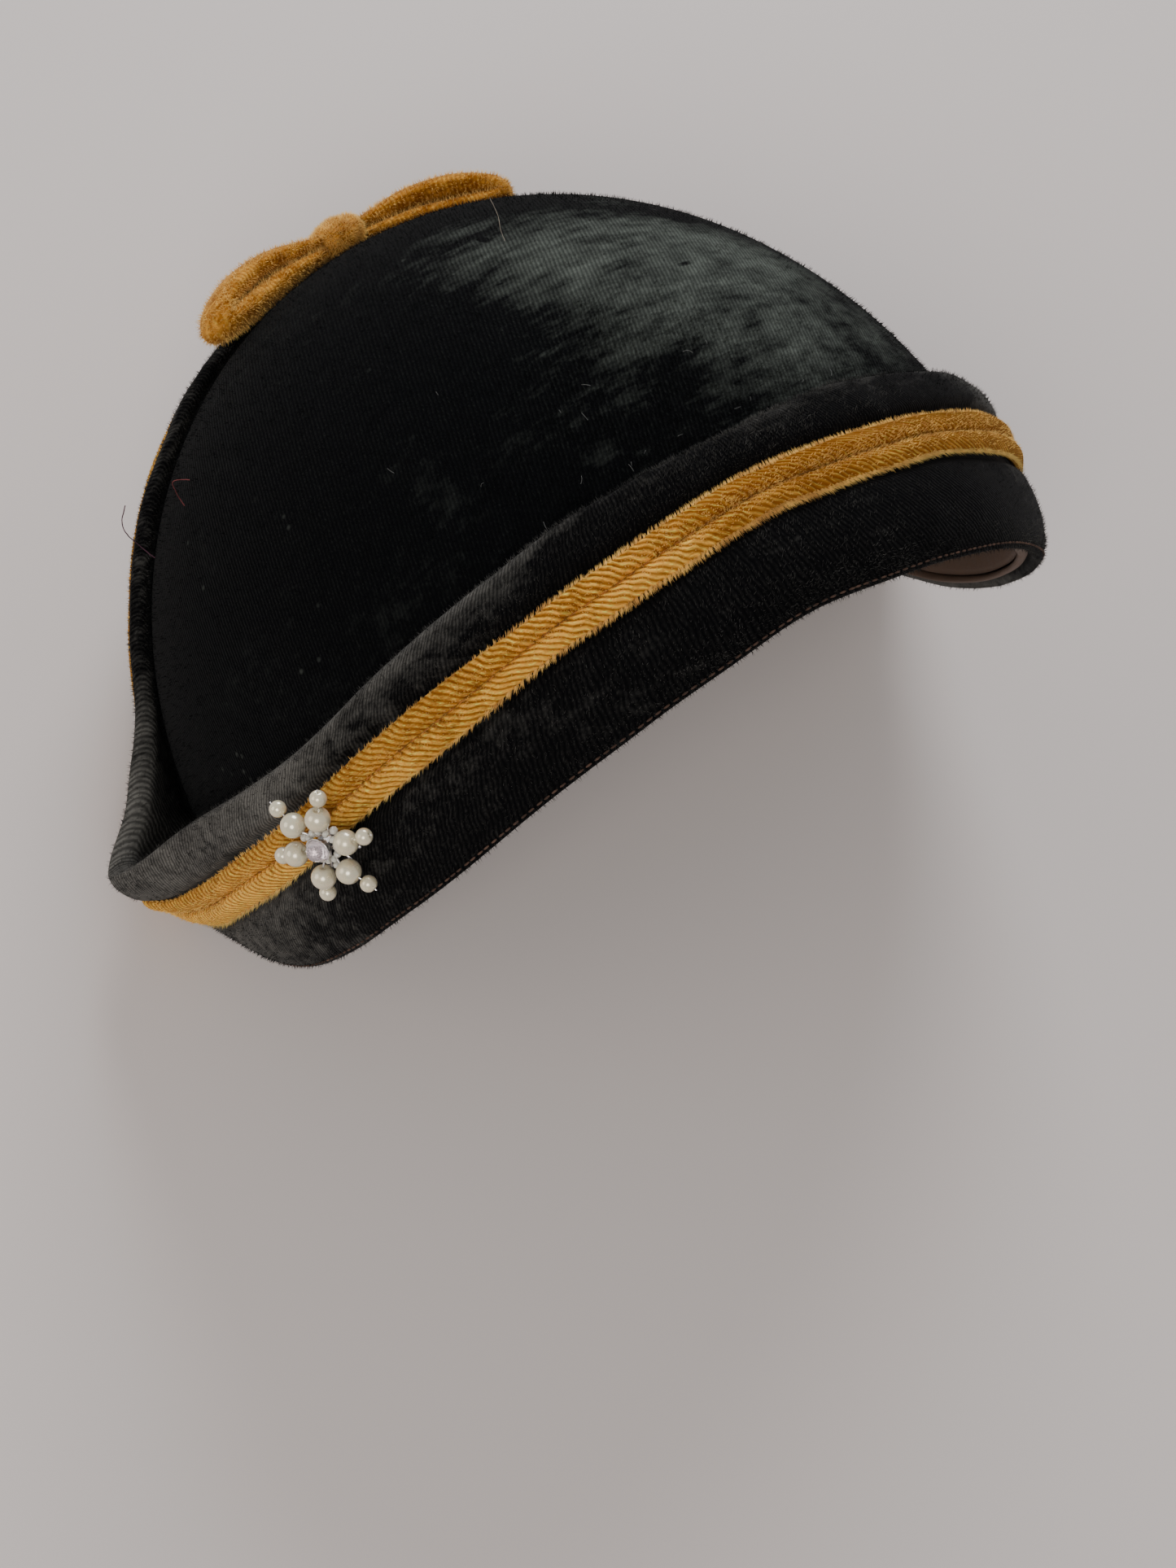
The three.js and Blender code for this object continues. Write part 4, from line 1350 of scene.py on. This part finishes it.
class HALFHAT_OT_wear(bpy.types.Operator):
    """Loose threads, a pale hair and lint that the velvet has picked up"""

    bl_idname = "half_hat.wear"
    bl_label = "Threads and lint"

    def execute(self, context):
        sizes = context.scene.half_hat_cloth
        draws = np.random.default_rng(91)
        for name, colour, radius, line in LOOSE_THREADS:
            path = smoothed(np.array(line, float), 8, closed=False)
            worn = settle(shell_point(*path.T))
            worn += np.cumsum(draws.normal(0, 0.03, worn.shape), axis=0)
            rods = self.tube(worn, radius)[None]
            many_rods(name, rods, fibre(name + "_fibre", colour))
        self.lint(sizes, draws)
        return {"FINISHED"}

    def tube(self, path, radius, sides=6):
        """Rings of points round a path."""
        ahead = unit(np.gradient(path, axis=0))
        side = unit(np.cross(ahead, (0.31, 0.77, 0.56)))
        other = np.cross(ahead, side)
        t = circle(sides)[None, :, None]
        return path[:, None] + radius * (np.cos(t) * side[:, None] + np.sin(t) * other[:, None])

    def lint(self, sizes, draws):
        """Short curled bits of lint on the crown."""
        rods = []
        for _ in range(sizes.lint_bits):
            turn, polar = draws.uniform(-110, 60), draws.uniform(12, 40)
            hem = cuff_at(np.array([turn]))
            inside = float(cuff_polar(hem, 0.98)[0])
            polar = min(polar, inside - 3)
            bend, heading = draws.uniform(-0.9, 0.9), draws.uniform(0, 2 * math.pi)
            length = draws.uniform(0.8, 2.4)
            t = np.linspace(0, 1, 8)
            way = heading + bend * t
            across = np.cumsum(np.cos(way)) * length / 8
            down = np.cumsum(np.sin(way)) * length / 8
            narrow = MEAN_RADIUS * max(math.sin(math.radians(polar)), 0.2)
            turns = turn + np.degrees(across / narrow)
            polars = polar + np.degrees(down / MEAN_RADIUS)
            path = settle(shell_point(turns, polars, 0.75 + 0.25 * np.sin(math.pi * t)))
            rods.append(self.tube(path, 0.02, 5))
        many_rods("lint", np.array(rods), fibre("lint_fibre", (0.2, 0.2, 0.19), 0.2))


# The stage

class HALFHAT_OT_stage(bpy.types.Operator):
    """A plain pale floor, soft studio light and the camera"""

    bl_idname = "half_hat.stage"
    bl_label = "Stage"

    def execute(self, context):
        sizes = context.scene.half_hat_stage
        self.floor(sizes)
        self.camera()
        for name, place, size, power, colour in LAMPS:
            lamp = bpy.data.lights.new(name, "AREA")
            lamp.shape, lamp.size, lamp.color = "DISK", size, colour
            lamp.energy = power * sizes.brightness
            holder = bpy.data.objects.new(name, lamp)
            holder.location = place
            aim = Vector((0, 0, 0.07)) - Vector(place)
            holder.rotation_euler = aim.to_track_quat("-Z", "Y").to_euler()
            context.scene.collection.objects.link(holder)
        world = bpy.data.worlds.new("studio_air")
        world.use_nodes = True
        air = world.node_tree.nodes["Background"]
        air.inputs["Color"].default_value = AIR_COLOUR
        air.inputs["Strength"].default_value = AIR_STRENGTH * sizes.brightness
        context.scene.world = world
        return {"FINISHED"}

    def floor(self, sizes):
        form = bmesh.new()
        bmesh.ops.create_grid(form, x_segments=8, y_segments=8, size=FLOOR_REACH)
        mesh = bpy.data.meshes.new("floor")
        form.to_mesh(mesh)
        form.free()
        floor = bpy.data.objects.new("floor", mesh)
        bpy.context.scene.collection.objects.link(floor)
        material, tree, shader = new_material("floor_paint", Specular_IOR_Level=0.2)
        drift = noise(tree, object_place(tree), 1.3, 1.0)
        share = fitted(tree, drift, 0.3, 0.7)
        tone = mixed(tree, share, rgb(sizes.floor_colour), shade(sizes.floor_colour, 0.95))
        tree.links.new(tone, shader.inputs["Base Color"])
        tree.links.new(fitted(tree, drift, 0.3, 0.7, 0.55, 0.65), shader.inputs["Roughness"])
        mesh.materials.append(material)

    def camera(self):
        azimuth, elevation, roll = (
            math.radians(v) for v in (CAMERA_AZIMUTH, CAMERA_ELEVATION, CAMERA_ROLL)
        )
        back = np.array([
            math.sin(azimuth) * math.cos(elevation), -math.cos(azimuth) * math.cos(elevation),
            math.sin(elevation)
        ])
        level = np.array([math.cos(azimuth), math.sin(azimuth), 0.0])
        over = np.cross(back, level)
        right = level * math.cos(roll) + over * math.sin(roll)
        up = over * math.cos(roll) - level * math.sin(roll)
        place = (leaned(CAMERA_PLACE) + np.array((0, MIDDLE, RAISED))) * MM
        ways = [Vector(leaned(v)) for v in (right, up, back)]
        lens = bpy.data.cameras.new("camera")
        lens.sensor_fit = "VERTICAL"
        lens.sensor_height = lens.sensor_width = SENSOR
        lens.lens = SENSOR * FOCAL_PIXELS / PHOTO_HEIGHT
        camera = bpy.data.objects.new("camera", lens)
        turned = Matrix((ways[0], ways[1], ways[2])).transposed().to_4x4()
        camera.matrix_world = Matrix.Translation(Vector(place)) @ turned
        bpy.context.scene.collection.objects.link(camera)
        bpy.context.scene.camera = camera


# What a user may change

def colour_value(name, text, value):
    return FloatVectorProperty(name=name, description=text, default=value, size=3, min=0, max=1,
                               subtype="COLOR")


def count_value(name, text, value):
    return IntProperty(name=name, description=text, default=value, min=0, max=48000)


class HalfHatCloth(bpy.types.PropertyGroup):
    crown_colour: colour_value("Crown", "Deep colour of the crown's velvet",
                               (0.0016, 0.0017, 0.0022))
    # Painted sheen: the lighter colour that stands in for light caught by the crown's pile.
    crown_sheen: colour_value("Crown, stroked", "Colour where the crown's pile is stroked",
                              (0.125, 0.14, 0.12))
    cuff_colour: colour_value("Cuff", "Deep colour of the cuff's velvet", (0.0016, 0.0016, 0.002))
    # Painted sheen: the lighter colour that stands in for light caught by the cuff's pile.
    cuff_sheen: colour_value("Cuff, stroked", "Colour where the cuff's pile is stroked",
                             (0.125, 0.12, 0.108))
    gold_deep: colour_value("Gold, deep", "Colour of the gold velvet down in its pile",
                            (0.2, 0.058, 0.004))
    # Painted sheen: the lighter colour that stands in for light caught by the gold pile, also used
    # for its painted glints.
    gold_light: colour_value("Gold, stroked", "Colour of the gold velvet where it catches light",
                             (0.95, 0.48, 0.085))
    lining: colour_value("Lining", "Colour of the lining and the binding", (0.055, 0.033, 0.022))
    thread: colour_value("Hem thread", "Colour of the stitches along the hem",
                         (0.06, 0.035, 0.025))
    band_thread: colour_value("Band thread", "Colour of the stitches in the band's crease",
                              (0.3, 0.12, 0.03))
    pile_length: FloatProperty(name="Pile",
                               description="Length of the loose pile fibres, in millimetres",
                               default=0.95, min=0.2, max=2.0)
    crown_fibres: count_value("Crown fibres", "Number of loose fibres on the crown", 32000)
    cuff_fibres: count_value("Cuff fibres", "Number of loose fibres on the cuff's faces", 20000)
    edge_fibres: count_value("Edge fibres", "Number of loose fibres along the cuff's edges", 17000)
    band_fibres: count_value("Band fibres", "Number of loose fibres along the band's lower edge",
                             11500)
    bow_fibres: count_value("Bow fibres", "Number of loose fibres on the bow", 19500)
    lint_bits: count_value("Lint", "Number of bits of lint", 18)
    cuff_fill: FloatProperty(name="Cuff fill", description="How firmly the cuff is wadded",
                             default=0.6, min=0, max=1, subtype="FACTOR")
    bow_fill: FloatProperty(name="Bow fill", description="How full the bow's strips are",
                            default=0.5, min=0, max=1, subtype="FACTOR")


class HalfHatBrooch(bpy.types.PropertyGroup):
    pearl_colour: colour_value("Pearls", "Colour of the pearls", (0.7, 0.645, 0.47))
    seed_colour: colour_value("Seed beads", "Tint of the small glass beads", (0.78, 0.76, 0.67))
    stone_colour: colour_value("Stone", "Tint of the cut stone", (0.95, 0.86, 0.88))


class HalfHatStage(bpy.types.PropertyGroup):
    brightness: FloatProperty(name="Brightness", description="Strength of all lights together",
                              default=1.0, min=0.1, max=4, subtype="FACTOR")
    floor_colour: colour_value("Floor", "Colour of the floor", (0.64, 0.58, 0.55))


OPERATORS = (HALFHAT_OT_crown, HALFHAT_OT_cuff, HALFHAT_OT_band, HALFHAT_OT_bow, HALFHAT_OT_brooch,
             HALFHAT_OT_wear, HALFHAT_OT_stage)
GROUPS = {"half_hat_cloth": HalfHatCloth, "half_hat_brooch": HalfHatBrooch,
          "half_hat_stage": HalfHatStage}


class HALFHAT_PT_panel(bpy.types.Panel):
    """Sizes and colours of the half hat, and the steps that build it"""

    bl_idname = "HALFHAT_PT_panel"
    bl_label = "Half Hat"
    bl_space_type = "VIEW_3D"
    bl_region_type = "UI"
    bl_category = "Half Hat"

    def draw(self, context):
        for key, group in GROUPS.items():
            box = self.layout.box()
            for name in group.__annotations__:
                box.prop(getattr(context.scene, key), name)
        for operator in OPERATORS:
            self.layout.operator(operator.bl_idname)


def register():
    for known in (*GROUPS.values(), *OPERATORS, HALFHAT_PT_panel):
        bpy.utils.register_class(known)
    for key, group in GROUPS.items():
        setattr(bpy.types.Scene, key, PointerProperty(type=group))


def unregister():
    for key in GROUPS:
        delattr(bpy.types.Scene, key)
    for known in (HALFHAT_PT_panel, *reversed(OPERATORS), *GROUPS.values()):
        bpy.utils.unregister_class(known)


def main():
    register()
    bpy.ops.half_hat.crown()
    bpy.ops.half_hat.cuff()
    bpy.ops.half_hat.band()
    bpy.ops.half_hat.bow()
    bpy.ops.half_hat.brooch()
    bpy.ops.half_hat.wear()
    bpy.ops.half_hat.stage()


if __name__ == "__main__":
    main()
